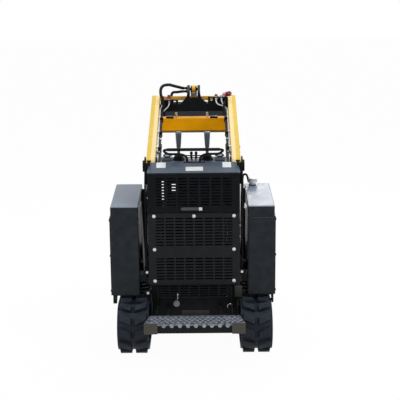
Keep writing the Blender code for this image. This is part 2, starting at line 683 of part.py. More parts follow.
def build_deck(machine):
    """Deck between the arms: sloped strip at its rear edge, level top and front drop."""
    t = DECK_SHEET
    corners = [(-DECK_REAR_HALF_X, 0.0, DECK_REAR_Z), (DECK_REAR_HALF_X, 0.0, DECK_REAR_Z),
               (DECK_STRIP_HALF_X, DECK_SLOPE_Y, DECK_Z), (-DECK_STRIP_HALF_X, DECK_SLOPE_Y, DECK_Z)]
    strip = hexahedron([(x, y, z - t) for x, y, z in corners] + corners)
    half = COVER_HALF_X + 0.003
    front_z = COVER_TOP_Z + 0.030
    level = side_plate([(DECK_SLOPE_Y - 0.015, DECK_Z - 0.011), (DECK_FRONT_Y - 0.060, DECK_Z - t),
                        (DECK_FRONT_Y - t - 0.002, front_z), (DECK_FRONT_Y - 0.001, front_z),
                        (DECK_FRONT_Y - 0.052, DECK_Z), (DECK_SLOPE_Y, DECK_Z)], -half, half)
    piece("control_deck", combine([strip, level]), "black_paint", machine)


def build_controls(machine):
    """Grab bar, drive levers with boots, small levers and the two instrument pods."""
    deck = DECK_Z + TOUCH
    bar_y, bar_z = 0.100, deck + 0.0805
    grab = {}
    for word, s in sides():
        grab[word] = smooth_route([
            (0.0, bar_y, bar_z), (s * 0.060, bar_y, bar_z), (s * 0.130, bar_y, bar_z),
            (s * 0.176, bar_y, bar_z - 0.001),
            (s * 0.191, bar_y + 0.002, bar_z - 0.005), (s * 0.189, bar_y + 0.004, bar_z - 0.013),
            (s * 0.172, bar_y + 0.007, bar_z - 0.026), (s * 0.150, bar_y + 0.010, bar_z - 0.031),
            (s * 0.092, bar_y + 0.012, bar_z - 0.032), (s * 0.062, bar_y + 0.014, bar_z - 0.040),
            (s * 0.046, bar_y + 0.016, deck + 0.026), (s * 0.043, bar_y + 0.016, deck + 0.012),
            (s * 0.043, bar_y + 0.016, deck)], 3)
    loop = tube(grab["left"][::-1] + grab["right"][1:], 0.008, 8)
    rung = bar((-0.057, bar_y + 0.015, bar_z - 0.042), (0.057, bar_y + 0.015, bar_z - 0.042), 0.004, 8)
    piece("grab_bar", combine([loop, rung]), "frame_black", machine, smooth=True)
    for word, x in (("left", -0.097), ("right", 0.090)):
        foot = (x, 0.170, deck)
        boot = bar(foot, (x, 0.170, deck + 0.030), 0.037, 16, 0.023)
        stem = bar((x, 0.170, deck + 0.020), (x, 0.175, deck + 0.090), 0.010, 10)
        grip = bar((x, 0.174, deck + 0.080), (x, 0.182, deck + 0.178), 0.0135, 12, 0.0205)
        piece(f"drive_lever_{word}", combine([boot, stem, grip]), "grey_plastic", machine, smooth=True)
    base = box((-0.030, 0.150, deck), (0.030, 0.190, deck + 0.010))
    stalks = [bar((x, 0.170, deck + 0.004), (x, 0.172, deck + 0.045), 0.0075, 8) for x in (-0.014, 0.0165)]
    piece("auxiliary_levers", combine([base, *stalks]), "frame_black", machine)
    for word, side in sides():
        x0, x1 = mirrored(0.138, 0.206, side)
        shell = hexahedron([(x0, 0.120, deck), (x1, 0.120, deck), (x1, 0.205, deck), (x0, 0.205, deck),
                            (x0 + 0.006, 0.126, deck + 0.020), (x1 - 0.006, 0.126, deck + 0.020),
                            (x1 - 0.006, 0.200, deck + 0.036), (x0 + 0.006, 0.200, deck + 0.036)])
        piece(f"instrument_pod_{word}", shell, "grey_plastic", machine, bevel=0.005)


def build_tanks(machine):
    """Tall side tanks over the tracks, each with its outer plate, its brackets and its feet."""
    tower = ARM_OUT_X + SIDE_GAP + 0.008 + TOUCH
    for word, side in sides():
        near, far = TANK_PLACES[word]
        body = side_plate([(0.0, TANK_LOW_Z), (TANK_LENGTH, TANK_LOW_Z), (TANK_LENGTH, TANK_FRONT_TOP_Z),
                           (0.0, TANK_REAR_TOP_Z)], *mirrored(near, far, side))
        parts = [softened(body, 0.005)]
        outer = mirrored(far - 0.004, far + TANK_PLATE, side)
        parts.append(box((outer[0], 0.004, TANK_LOW_Z + 0.004),
                         (outer[1], TANK_LENGTH - 0.004, TANK_PLATE_TOP_Z)))
        feet = mirrored(tower, near + 0.004, side)
        for y in (0.060, 0.330):
            parts.append(box((feet[0], y, 0.450), (feet[1], y + 0.090, 0.500)))
        # Upright stay in front that fills most of the gap to the tower
        stay = mirrored(tower + 0.004, near + 0.004, side)
        parts.append(box((stay[0], TANK_LENGTH - 0.046, TANK_LOW_Z + 0.040),
                         (stay[1], TANK_LENGTH - 0.040, TANK_REAR_TOP_Z + 0.010)))
        # Mudguard bracket under the rear outer corner
        guard = mirrored(max(far - 0.028, TRACK_CENTRE_X + TRACK_WIDTH / 2 + 0.004), far - 0.004, side)
        parts.append(side_plate([(0.006, TANK_LOW_Z + 0.006), (0.006, TANK_LOW_Z - 0.054),
                                 (0.024, TANK_LOW_Z - 0.054), (0.110, TANK_LOW_Z + 0.006)], *guard))
        if side > 0:
            parts.append(bar((*CAP_PLACE, CAP_SEAT_Z - 0.012), (*CAP_PLACE, CAP_SEAT_Z), 0.027, 20))
            parts.append(rear_plate(rounded(near + 0.010, TANK_LOW_Z + 0.012, far - 0.006,
                                            TANK_PLATE_TOP_Z - 0.006, 0.020), -0.004, 0.004))
        piece(f"side_tank_{word}", combine(parts), "black_paint", machine)
    neck = bar((*CAP_PLACE, CAP_SEAT_Z + TOUCH), (*CAP_PLACE, CAP_SEAT_Z + 0.024), 0.022, 16)
    lid = bar((*CAP_PLACE, CAP_SEAT_Z + 0.014), (*CAP_PLACE, CAP_SEAT_Z + 0.042), 0.033, 20, 0.027)
    piece("tank_cap", combine([neck, lid]), "zinc", machine, smooth=True)


def build_step(machine):
    """Operator step as a folded tray with proud ends, its two arms and the fitting over it."""
    plan = [(-STEP_REAR_HALF_X, STEP_REAR_Y), (STEP_REAR_HALF_X, STEP_REAR_Y),
            (STEP_FRONT_HALF_X, STEP_FRONT_Y), (-STEP_FRONT_HALF_X, STEP_FRONT_Y)]
    t = STEP_SHEET
    recess = 0.014
    inner_y = STEP_REAR_Y + t + recess
    inner = [(-STEP_REAR_HALF_X + t, inner_y), (STEP_REAR_HALF_X - t, inner_y),
             (STEP_FRONT_HALF_X - t, STEP_FRONT_Y - t), (-STEP_FRONT_HALF_X + t, STEP_FRONT_Y - t)]
    cuts = [plan_plate(inner, STEP_LOW_Z - 0.01, STEP_TOP_Z - t),
            box((-STEP_CAP_X, STEP_REAR_Y - 0.01, STEP_LOW_Z - 0.01),
                (STEP_CAP_X, STEP_REAR_Y + recess, STEP_TOP_Z - 0.014))]
    piece("operator_step", combine([plan_plate(plan, STEP_LOW_Z, STEP_TOP_Z)], cuts), "steel", machine)
    parts = [box((-0.200, STEP_FRONT_Y + TOUCH, STEP_LOW_Z + 0.006),
                 (0.200, STEP_FRONT_Y + 0.008, STEP_TOP_Z - 0.006))]
    for _, side in sides():
        x0, x1 = mirrored(0.160, 0.180, side)
        parts.append(box((x0, STEP_FRONT_Y + 0.004, STEP_LOW_Z + 0.010),
                         (x1, CHASSIS_REAR_Y - TOUCH, STEP_LOW_Z + 0.060)))
    parts.append(box((-0.082, STEP_FRONT_Y + 0.002, STEP_TOP_Z - 0.015),
                     (0.093, STEP_FRONT_Y + 0.008, STEP_TOP_Z + 0.035)))
    piece("step_bracket", combine(parts), "frame_black", machine)
    knob_x, knob_z = -0.120, STEP_TOP_Z + 0.027
    knob = bar((knob_x, CHASSIS_REAR_Y - 0.0085, knob_z), (knob_x, -0.030, knob_z), 0.014, 14)
    head = bar((knob_x, -0.026, knob_z), (knob_x, -0.048, knob_z), 0.021, 14)
    neck = bar((knob_x, CHASSIS_REAR_Y - TOUCH, knob_z), (knob_x, CHASSIS_REAR_Y - 0.012, knob_z), 0.014, 14)
    piece("drain_fitting", combine([knob, head, neck]), "grey_plastic", machine, smooth=True)


# Moving pieces

def build_rear_door(carrier):
    """Slotted door hinged along its top edge, with its latch handle."""
    column_pitch = PANEL_HALF_X * 0.2424
    slot_width = column_pitch * 0.778
    columns = slot_rows(-3 * column_pitch - slot_width / 2, 7, column_pitch, slot_width)
    rows = slot_rows(DOOR_LOW_Z + 0.0445, 10, 0.0192, SLOT_HEIGHT)
    sheet = slotted_sheet(cuts_from_places(-PANEL_HALF_X, columns, PANEL_HALF_X),
                          cuts_from_places(DOOR_LOW_Z, rows, DOOR_TOP_Z), DOOR_BACK_Y, -TOUCH)
    piece("rear_upper_door", sheet, "black_paint", carrier)
    handle = rear_plate(rounded(-0.083, DOOR_LOW_Z + 0.0165, 0.054, DOOR_LOW_Z + 0.0355, 0.009, 3),
                        DOOR_BACK_Y - 0.012, DOOR_BACK_Y - TOUCH)
    piece("door_latch", handle, "zinc", carrier)


def arm_outline():
    """Side outline of an arm: rear run, knee with its deep web, and the run to the hitch."""
    h, t = ARM_DEPTH / 2, ARM_TIP_DEPTH / 2
    up, fall = ARM_RISE_DEG, ARM_FALL_DEG
    points = arc(PIVOT, h, up + 270, up + 90, 10)
    bisector = (up + fall) / 2 + 90
    points.append(toward(KNEE, bisector, h / cos(radians((up - fall) / 2))))
    points += arc(HITCH, t, fall + 90, fall - 90, 10)
    points += [(1.300, 1.368), (1.225, 1.285), (1.105, 1.285), (0.985, 1.398)]
    return points


def build_arms(carrier):
    """Both arms, what ties them together and the fluid lines that run along them."""
    outline = arm_outline()
    for word, side in sides():
        x0, x1 = mirrored(ARM_IN_X, ARM_OUT_X, side)
        cutters = [bar((x0 - 0.01, *PIVOT), (x1 + 0.01, *PIVOT), PIVOT_PIN_R + PIN_GAP, 20),
                   bar((x0 - 0.01, *HITCH), (x1 + 0.01, *HITCH), HITCH_PIN_R + PIN_GAP, 20)]
        # The box arm is open below, so the lift cylinder's rod eye sits between its two walls
        pocket = [arm_point(along, up) for along, up in ((0.200, -0.080), (0.430, -0.080), (0.400, 0.030),
                                                         (0.300, 0.030))]
        cutters.append(side_plate(pocket, x0 + ARM_WALL, x1 - ARM_WALL))
        piece(f"lift_arm_{word}", combine([side_plate(outline, x0, x1)], cutters), "yellow_paint", carrier)
    half = ARM_IN_X - TOUCH
    for name, (y0, z0, y1, z1) in (("cross_tube", CROSS_TUBE), ("upper_bar", UPPER_BAR)):
        piece(name, box((-half, y0, z0), (half, y1, z1)), "yellow_paint", carrier)
    build_tilt_bracket(carrier, half)
    build_lines(carrier, half)


def arm_point(along, up):
    """Point of the arm's side view from its pivot, along its rear run and square to it."""
    return toward(toward(PIVOT, ARM_RISE_DEG, along), ARM_RISE_DEG + 90, up)


def build_lines(carrier, half):
    """Line brackets under the arms' tops, with the pipes and hoses that they and the clamps hold."""
    band_y, _, _, band_z = BRACKET_BAND
    plate_y = band_y - 0.014
    # Per side: inner and outer edge, height of the shelf, place of the round hole
    spots = {"left": (0.115, 0.243, 1.536, 0.140), "right": (0.105, half, 1.556, 0.131)}
    for word, side in sides():
        near, far, top_z, hole_x = spots[word]
        x0, x1 = mirrored(near, far, side)
        web = box((x0, plate_y, band_z - 0.008), (x1, band_y - TOUCH, top_z))
        shelf = box((x0 + 0.012, plate_y - 0.040, top_z - 0.006), (x1, plate_y + 0.004, top_z))
        hole_z = top_z - 0.022
        hole = bar((side * hole_x, plate_y - 0.06, hole_z), (side * hole_x, band_y + 0.02, hole_z), 0.011, 16)
        piece(f"line_bulkhead_{word}", combine([web, shelf], [hole]), "black_paint", carrier)
        build_pipes(carrier, word, side, top_z - 0.006 - TOUCH, plate_y - 0.021)
    build_hoses(carrier, spots["right"][2] - 0.006)


def build_pipes(carrier, word, side, top_z, top_y):
    """Two bent pipes from a shelf down along the arm, joined by the clamps that hold them."""
    starts = {"left": (0.228, 0.181), "right": (0.165, 0.205)}[word]
    parts = []
    for k, start in enumerate(starts):
        up = 0.018 - 0.026 * k
        lows = [(0.0030, 0.880), (0.0006, 0.850), (0.0, 0.800), (0.0, 0.500), (0.0, 0.170)]
        route = [(side * start, top_y, top_z), (side * start, top_y, top_z - 0.008),
                 (side * start, top_y, top_z - 0.022),
                 (side * (start + 0.010), top_y - 0.008, top_z - 0.045)]
        if start < 0.200:
            route.append((side * 0.222, top_y - 0.020, top_z - 0.062 - 0.010 * k))
        route += [(side * (PIPE_X - inward), *arm_point(along, up)) for inward, along in lows]
        parts.append(tube(smooth_route(route, 3), PIPE_R, 8))
    for along in (0.230, 0.470, 0.710):
        corners = [arm_point(along + a, b) for a, b in ((-0.010, -0.020), (0.010, -0.020), (0.010, 0.030),
                                                        (-0.010, 0.030))]
        parts.append(side_plate(corners, *mirrored(HOSE_X + HOSE_R + TOUCH, ARM_IN_X - TOUCH, side)))
    piece(f"oil_lines_{word}", combine(parts), "zinc", carrier)


def build_hoses(carrier, shelf_z):
    """Hoses along both arms: a loop over to the bracket's ear on the left, up to the shelf on the right."""
    ear_x = BRACKET_HALF_X + TOUCH
    base_y, base_z = TILT_BASE
    for word, side in sides():
        low = [(side * HOSE_X, *arm_point(along, 0.006)) for along in (0.170, 0.400, 0.700, 0.850)]
        if side < 0:
            top = [(-0.219, base_y - 0.180, base_z - 0.115), (-0.226, base_y - 0.186, base_z - 0.058),
                   (-0.240, base_y - 0.178, base_z - 0.008), (-0.232, base_y - 0.160, base_z + 0.034),
                   (-0.192, base_y - 0.120, base_z + 0.047), (-0.142, base_y - 0.070, base_z + 0.032),
                   (-0.095, base_y - 0.022, base_z + 0.014), (-0.072, base_y - 0.006, base_z + 0.008),
                   (-0.064, base_y - 0.006, base_z + 0.008), (-0.056, base_y - 0.006, base_z + 0.008),
                   (-ear_x, base_y - 0.006, base_z + 0.008)]
        else:
            end_z = shelf_z - TOUCH
            top = [(0.219, base_y - 0.180, base_z - 0.115), (0.224, base_y - 0.170, end_z - 0.038),
                   (HOSE_X, base_y - 0.140, end_z - 0.024), (HOSE_X, base_y - 0.130, end_z - 0.014),
                   (HOSE_X, base_y - 0.130, end_z - 0.007), (HOSE_X, base_y - 0.130, end_z)]
        piece(f"tilt_hose_{word}", tube(smooth_route(low + top, 3), HOSE_R, 10), "hose_rubber", carrier,
              smooth=True)
    bar_top = UPPER_BAR[3] + TOUCH
    short = [(x, UPPER_BAR[0] + 0.013, bar_top + up)
             for x, up in ((-0.165, 0.0), (-0.165, 0.008), (-0.165, 0.016), (-0.156, 0.027), (-0.125, 0.031),
                           (-0.090, 0.035), (-0.072, 0.036), (-0.064, 0.036), (-0.056, 0.036), (-ear_x, 0.036))]
    piece("tilt_hose_short", tube(smooth_route(short, 3), HOSE_R, 10), "hose_rubber", carrier, smooth=True)


def build_tilt_bracket(carrier, half):
    """Black bar between the arms with a flared column and two ears for the tilt cylinder."""
    y0, band_low, y1, band_high = BRACKET_BAND
    column = BRACKET_HALF_X
    column_top = 1.590
    flare_x, flare_z = 0.105, 0.086
    outline = [(-half, band_low), (half, band_low), (half, band_high)]
    flare = [(column + flare_x * (1 - sin(radians(a))), band_high + flare_z * (1 - cos(radians(a))))
             for a in range(0, 91, 15)]
    outline += flare
    outline += [(column, column_top), (-column, column_top)]
    outline += [(-x, z) for x, z in flare[::-1]]
    outline += [(-half, band_high)]
    slot = box((-0.0285, y0 - 0.01, 1.545), (0.0285, y1 + 0.01, column_top + 0.01))
    parts = [combine([rear_plate(outline, y0, y1)], [slot])]
    ear = [(y0 + 0.002, 1.510), (y1 - 0.002, 1.510), (y1 - 0.002, 1.552), (TILT_BASE_Y, 1.560)]
    ear += arc(TILT_BASE, 0.030, -45, 125, 8) + [(y0 + 0.002, 1.586)]
    for s in (-1, 1):
        parts.append(side_plate(ear, *mirrored(0.0285 - 0.0005, column, s)))
    parts.append(bar((-0.030, *TILT_BASE), (0.030, *TILT_BASE), TILT_PIN_R, 16))
    piece("tilt_bracket", combine(parts), "black_paint", carrier)


def cylinder_barrel(base, angle, length, radius, x, pin_r, eye_half):
    """Hydraulic barrel with its base eye, bored along its length for the rod."""
    start = toward(base, angle, radius * 0.6)
    end = toward(base, angle, length)
    body = bar((x, *start), (x, *end), radius, 20)
    eye = bar((x - eye_half, *base), (x + eye_half, *base), radius * 1.05, 20)
    bore = bar((x - eye_half - 0.01, *base), (x + eye_half + 0.01, *base), pin_r + PIN_GAP, 20)
    return body, eye, bore


def build_lift_cylinder(word, side, barrel_axis, rod_axis):
    """One lift cylinder: barrel on the tower's pin, rod up to the arm."""
    x = side * (ARM_IN_X + ARM_OUT_X) / 2
    body, eye, bore = cylinder_barrel(LIFT_BASE, LIFT_DEG, LIFT_BARREL_LENGTH, LIFT_BARREL_R, x,
                                      LIFT_PIN_R, 0.026)
    sleeve = bar((x, *toward(LIFT_BASE, LIFT_DEG, 0.046)),
                 (x, *toward(LIFT_BASE, LIFT_DEG, LIFT_BARREL_LENGTH + 0.02)), LIFT_ROD_R + PIN_GAP, 16)
    piece(f"lift_barrel_{word}", combine([body, eye], [bore, sleeve]), "frame_black", barrel_axis,
          smooth=True)
    rod_low = toward(LIFT_BASE, LIFT_DEG, LIFT_ROD_LOW)
    rod = bar((x, *rod_low), (x, *toward(LIFT_EYE, LIFT_DEG, -0.012)), LIFT_ROD_R, 16)
    rod_eye = bar((x - 0.012, *LIFT_EYE), (x + 0.012, *LIFT_EYE), 0.026, 18)
    hole = bar((x - 0.03, *LIFT_EYE), (x + 0.03, *LIFT_EYE), 0.013, 14)
    piece(f"lift_rod_{word}", combine([rod, rod_eye], [hole]), "chrome", rod_axis, smooth=True)


def build_tilt_cylinder(barrel_axis, rod_axis):
    """Tilt cylinder from the bracket's ears to the lug of the hitch plate."""
    body, eye, bore = cylinder_barrel(TILT_BASE, TILT_DEG, TILT_BARREL_LENGTH, TILT_BARREL_R, 0.0,
                                      TILT_PIN_R, 0.022)
    sleeve = bar((0, *toward(TILT_BASE, TILT_DEG, 0.050)),
                 (0, *toward(TILT_BASE, TILT_DEG, TILT_BARREL_LENGTH + 0.02)), TILT_ROD_R + PIN_GAP, 16)
    piece("tilt_barrel", combine([body, eye], [bore, sleeve]), "yellow_paint", barrel_axis, smooth=True)
    rod = bar((0, *toward(TILT_BASE, TILT_DEG, TILT_BARREL_LENGTH - 0.16)),
              (0, *toward(TILT_EYE, TILT_DEG, -0.010)), TILT_ROD_R, 16)
    rod_eye = bar((-0.012, *TILT_EYE), (0.012, *TILT_EYE), 0.022, 16)
    hole = bar((-0.03, *TILT_EYE), (0.03, *TILT_EYE), 0.010, 12)
    piece("tilt_rod", combine([rod, rod_eye], [hole]), "chrome", rod_axis, smooth=True)


def plate_point(up, forward):
    """Point of the hitch plate, measured from its pivot along and across the plate."""
    return toward(toward(HITCH, PLATE_UP_DEG, up), PLATE_UP_DEG - 90.0, forward)


def build_hitch(carrier):
    """Quick-hitch plate with two ears at each arm's tip and a lug for the tilt cylinder."""
    back, front = PLATE_BACK, PLATE_BACK + PLATE_SHEET
    face = [plate_point(PLATE_LOW, back), plate_point(PLATE_LOW, front), plate_point(PLATE_HIGH, front),
            plate_point(PLATE_HIGH - 0.004, back)]
    parts = [side_plate(face, -PLATE_HALF_X, PLATE_HALF_X)]
    hook = [plate_point(PLATE_HIGH - 0.012, front - 0.002), plate_point(PLATE_HIGH + 0.008, front + 0.018),
            plate_point(PLATE_HIGH + 0.012, front + 0.010), plate_point(PLATE_HIGH - 0.001, front - 0.008)]
    parts.append(side_plate(hook, -PLATE_HALF_X + 0.002, PLATE_HALF_X - 0.002))
    ear = [plate_point(-0.060, back + 0.004), plate_point(0.070, back + 0.004)]
    ear += [plate_point(0.038 * cos(radians(a)), 0.038 * sin(radians(a))) for a in range(-20, -161, -20)]
    for s in (-1, 1):
        for near, far in ((ARM_IN_X - SIDE_GAP - 0.010, ARM_IN_X - SIDE_GAP),
                          (ARM_OUT_X + SIDE_GAP, ARM_OUT_X + SIDE_GAP + 0.008)):
            parts.append(side_plate(ear, *mirrored(near, far, s)))
        x0, x1 = mirrored(ARM_IN_X - SIDE_GAP - 0.006, ARM_OUT_X + SIDE_GAP + 0.006, s)
        parts.append(bar((x0, *HITCH), (x1, *HITCH), HITCH_PIN_R, 20))
        lug = [plate_point(0.020, back + 0.004), plate_point(PLATE_HIGH - 0.012, back + 0.004)]
        lug += [plate_point(PLATE_LUG_UP + 0.024 * cos(radians(a)), PLATE_LUG_FORWARD + 0.024 * sin(radians(a)))
                for a in range(30, -151, -30)]
        parts.append(side_plate(lug, *mirrored(0.018, 0.030, s)))
    # Two upright slots that lighten the plate
    window = [plate_point(0.004, back - 0.02), plate_point(0.076, back - 0.02),
              plate_point(0.076, front + 0.02), plate_point(0.004, front + 0.02)]
    windows = [side_plate(window, x - 0.010, x + 0.010) for x in (-0.145, 0.104)]
    piece("hitch_plate", combine(parts, windows), "frame_black", carrier)


def main():
    """Build the whole machine."""
    for old in list(bpy.data.objects):
        bpy.data.objects.remove(old)
    machine = frame_empty("machine", (0, 0, 0))
    machine.location.y = -LAYOUT_MIDDLE_Y
    build_undercarriage(machine)
    build_chassis(machine)
    build_panels(machine)
    build_controls(machine)
    build_tanks(machine)
    build_step(machine)
    build_rear_door(frame_empty("rear_door_axis", (0, -0.010, DOOR_TOP_Z - 0.0005), machine))
    lift = frame_empty("lift_axis", (0, *PIVOT), machine)
    build_arms(lift)
    for word, side in sides():
        barrel = frame_empty(f"lift_barrel_axis_{word}", (0, *LIFT_BASE), machine)
        rod = frame_empty(f"lift_rod_axis_{word}", (0, *LIFT_EYE), barrel)
        build_lift_cylinder(word, side, barrel, rod)
    tilt = frame_empty("tilt_barrel_axis", (0, *TILT_BASE), lift)
    build_tilt_cylinder(tilt, frame_empty("tilt_rod_axis", (0, *TILT_EYE), tilt))
    build_hitch(frame_empty("hitch_axis", (0, *HITCH), lift))


main()
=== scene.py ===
"""Finish, fittings, light and camera for a tracked stand-on mini skid steer loader.

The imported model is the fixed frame: its pieces keep their places and get their real surfaces here.
Each sub-assembly is a class whose fields hold its sizes in metres, with methods that model its small
fittings with Blender's edit operators and ride them on the body that carries them. Places are given as
X, distance ahead of the tanks' rear faces ("back") and Z.
"""

import logging
from dataclasses import dataclass
from enum import Enum
from math import cos, pi, radians, sin

import bmesh
import bpy
from mathutils import Matrix, Vector

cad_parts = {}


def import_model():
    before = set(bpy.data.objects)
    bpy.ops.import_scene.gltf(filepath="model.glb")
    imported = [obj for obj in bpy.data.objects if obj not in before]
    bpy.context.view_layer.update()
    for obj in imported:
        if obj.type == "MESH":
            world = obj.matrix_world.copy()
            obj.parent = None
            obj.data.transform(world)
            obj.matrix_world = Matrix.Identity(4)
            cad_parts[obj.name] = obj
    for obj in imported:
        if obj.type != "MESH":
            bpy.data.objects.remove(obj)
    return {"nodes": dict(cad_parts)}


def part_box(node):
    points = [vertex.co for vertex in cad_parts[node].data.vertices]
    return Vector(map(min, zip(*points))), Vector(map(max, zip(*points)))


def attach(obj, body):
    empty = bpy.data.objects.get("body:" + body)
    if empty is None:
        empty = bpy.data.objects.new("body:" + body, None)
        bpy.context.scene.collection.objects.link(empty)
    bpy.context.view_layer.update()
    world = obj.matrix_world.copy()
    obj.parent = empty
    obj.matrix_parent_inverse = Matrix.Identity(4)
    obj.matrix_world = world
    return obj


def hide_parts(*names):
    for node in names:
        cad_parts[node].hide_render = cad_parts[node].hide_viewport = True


LOG = logging.getLogger("loader")

Object = bpy.types.Object
NodeTree = bpy.types.NodeTree
Socket = bpy.types.NodeSocket
Colour = tuple[float, float, float, float]
Point = tuple[float, float, float]
Span = tuple[float, float]
Box = tuple[Span, Span, Span]
# Rows of radius and height that a turned piece is spun from
Profile = tuple[tuple[float, float], ...] | list[tuple[float, float]]

SIDES = (-1, 1)
ORIGIN: Point = (0.0, 0.0, 0.0)
REARWARD: Point = (0, -1, 0)
FORWARD: Point = (0, 1, 0)
UP = Vector((0, 0, 1))
# Depth that a fitting sinks into the face that carries it
SINK = 0.001
# Rounding of moulded and of cut edges, and of the rims of thin parts
MOULDED_EDGE = 0.003
CUT_EDGE = 0.002
THIN_EDGE = 0.001
WHITE: Colour = (1.0, 1.0, 1.0, 1.0)


class Body(Enum):
    """Bodies of the frame that fittings ride on."""

    CHASSIS = "chassis"
    DOOR = "rear_door"
    ARMS = "lift_arms"
    LIFT_BARREL_LEFT = "lift_barrel_left"
    LIFT_BARREL_RIGHT = "lift_barrel_right"
    TILT_BARREL = "tilt_barrel"


# Materials

def linear(hex_colour: str) -> Colour:
    """Turn an sRGB hex colour into linear RGBA.

    Args:
        hex_colour: six hex digits.

    Returns:
        The colour as four linear channels, alpha 1.
    """
    channels = [int(hex_colour[i:i + 2], 16) / 255 for i in (0, 2, 4)]
    red, green, blue = [c / 12.92 if c <= 0.04045 else ((c + 0.055) / 1.055) ** 2.4 for c in channels]
    return red, green, blue, 1.0


def add_node(tree: NodeTree, kind: str, settings: dict | None = None, **links: object) -> bpy.types.Node:
    """Add one shader node with its settings and its inputs.

    Args:
        tree: node tree that gets the node.
        kind: Blender's node type.
        settings: properties of the node itself.
        links: input name with spaces written as underscores, and a socket to link or a value.

    Returns:
        The new node.
    """
    node = tree.nodes.new(kind)
    for name, value in (settings or {}).items():
        setattr(node, name, value)
    for name, value in links.items():
        wanted = name.replace("_", " ").lower()
        socket = next(s for s in node.inputs if s.name.lower() == wanted and s.enabled)
        if isinstance(value, Socket):
            tree.links.new(value, socket)
        else:
            socket.default_value = value
    return node


def calculated(tree: NodeTree, operation: str, first: Socket, second: Socket | float) -> Socket:
    """Combine two values with one math node.

    Args:
        tree: node tree to build in.
        operation: name of the operation.
        first: first value's socket.
        second: second value, or its socket.

    Returns:
        The result's socket.
    """
    node = add_node(tree, "ShaderNodeMath", {"operation": operation}, Value=first)
    if isinstance(second, Socket):
        tree.links.new(second, node.inputs[1])
    else:
        node.inputs[1].default_value = second
    return node.outputs["Value"]


def upward(tree: NodeTree) -> Socket:
    """Z part of each point's normal."""
    normal = add_node(tree, "ShaderNodeNewGeometry").outputs["Normal"]
    return add_node(tree, "ShaderNodeSeparateXYZ", Vector=normal).outputs["Z"]


def from_middle(tree: NodeTree, place: Socket) -> Socket:
    """Distance of each point from the machine's middle plane, in metres."""
    across = add_node(tree, "ShaderNodeSeparateXYZ", Vector=place).outputs["X"]
    return add_node(tree, "ShaderNodeMath", {"operation": "ABSOLUTE"}, Value=across).outputs["Value"]


def mixed(tree: NodeTree, factor: Socket, first: Colour | Socket, second: Colour | Socket) -> Socket:
    """Mix two colours.

    Args:
        tree: node tree to build in.
        factor: socket that sets the share of the second colour.
        first: linear colour, or a colour socket.
        second: linear colour, or a colour socket.

    Returns:
        The mixed colour's socket.
    """
    mix = tree.nodes.new("ShaderNodeMix")
    mix.data_type = "RGBA"
    tree.links.new(factor, mix.inputs["Factor"])
    for socket, value in ((mix.inputs[6], first), (mix.inputs[7], second)):
        if isinstance(value, Socket):
            tree.links.new(value, socket)
        else:
            socket.default_value = value
    return mix.outputs[2]


def per_metre(millimetres: float) -> float:
    """Noise scale that gives features of a real size in millimetres."""
    return 1000.0 / millimetres


@dataclass(frozen=True)
class Coating:
    """A surface: its two colours, its gloss, and the grain and relief that its making leaves.

    Roughness varies by the spread over patches; level faces take a share of a second colour, dust on most coatings
    and a painted sheen on the tanks' tops.
    """

    name: str
    colour: str
    second: str
    roughness: float
    spread: float = 0.08
    metallic: float = 0.0
    patch_mm: float = 60.0
    grain_mm: float = 1.5
    relief_mm: float = 0.02
    dust: float = 0.0
    dust_and_sheen_colour: str = "8A857C"
    coat: float = 0.0
    ior: float = 1.5
    relief_strength: float = 0.6
    # How far a face looks up where the dust, and on the tanks the painted sheen, begins and where it is full, and
    # the share left on walls
    dust_and_sheen_from: float = 0.2
    dust_and_sheen_full: float = 0.95
    wall_dust_and_sheen: float = 0.02

    def material(self) -> bpy.types.Material:
        """Build the coating's node material once.

        Returns:
            The material, shared by all that wear the coating.
        """
        if self.name in bpy.data.materials:
            return bpy.data.materials[self.name]
        made = bpy.data.materials.new(self.name)
        made.use_nodes = True
        tree = made.node_tree
        shader = tree.nodes["Principled BSDF"]
        place = add_node(tree, "ShaderNodeTexCoord").outputs["Object"]
        patches = add_node(tree, "ShaderNodeTexNoise", Vector=place, Scale=per_metre(self.patch_mm),
                           Detail=4.0, Roughness=0.6).outputs["Fac"]
        grain = add_node(tree, "ShaderNodeTexNoise", Vector=place, Scale=per_metre(self.grain_mm),
                         Detail=2.0, Roughness=0.5).outputs["Fac"]
        tint = add_node(tree, "ShaderNodeMapRange", Value=patches, From_Min=0.35, From_Max=0.65).outputs["Result"]
        colour = self.graded(tree, place, mixed(tree, tint, linear(self.colour), linear(self.second)))
        rough = add_node(tree, "ShaderNodeMapRange", Value=patches, From_Min=0.3, From_Max=0.7,
                         To_Min=max(self.roughness - self.spread, 0.02),
                         To_Max=min(self.roughness + self.spread, 1.0)).outputs["Result"]
        # Level faces take the second colour: dust, and on the tanks' tops a painted sheen
        if self.dust:
            colour = mixed(tree, self.dust_and_sheen_share(tree, patches), colour, linear(self.dust_and_sheen_colour))
        tree.links.new(colour, shader.inputs["Base Color"])
        tree.links.new(rough, shader.inputs["Roughness"])
        shader.inputs["Metallic"].default_value = self.metallic
        shader.inputs["Coat Weight"].default_value = self.coat
        if not self.metallic:
            shader.inputs["IOR"].default_value = self.ior
        bump = add_node(tree, "ShaderNodeBump", Height=grain, Strength=self.relief_strength,
                        Distance=self.relief_mm / 1000)
        tree.links.new(bump.outputs["Normal"], shader.inputs["Normal"])
        return made

    def graded(self, tree: NodeTree, place: Socket, colour: Socket) -> Socket:
        """Change the colour by the place on the machine: a plain coating keeps it."""
        return colour

    def dust_and_sheen_share(self, tree: NodeTree, patches: Socket) -> Socket:
        """Share of the second colour on each point, dust and on the tanks a painted sheen: more on faces that look
        up, broken into patches.

        Args:
            tree: node tree to build in.
            patches: noise that breaks the film up.

        Returns:
            Socket with the share, 0 to 1.
        """
        facing = add_node(tree, "ShaderNodeMapRange", Value=upward(tree), From_Min=self.dust_and_sheen_from,
                          From_Max=self.dust_and_sheen_full, To_Min=self.wall_dust_and_sheen * self.dust,
                          To_Max=self.dust).outputs["Result"]
        return calculated(tree, "MULTIPLY", facing, patches)


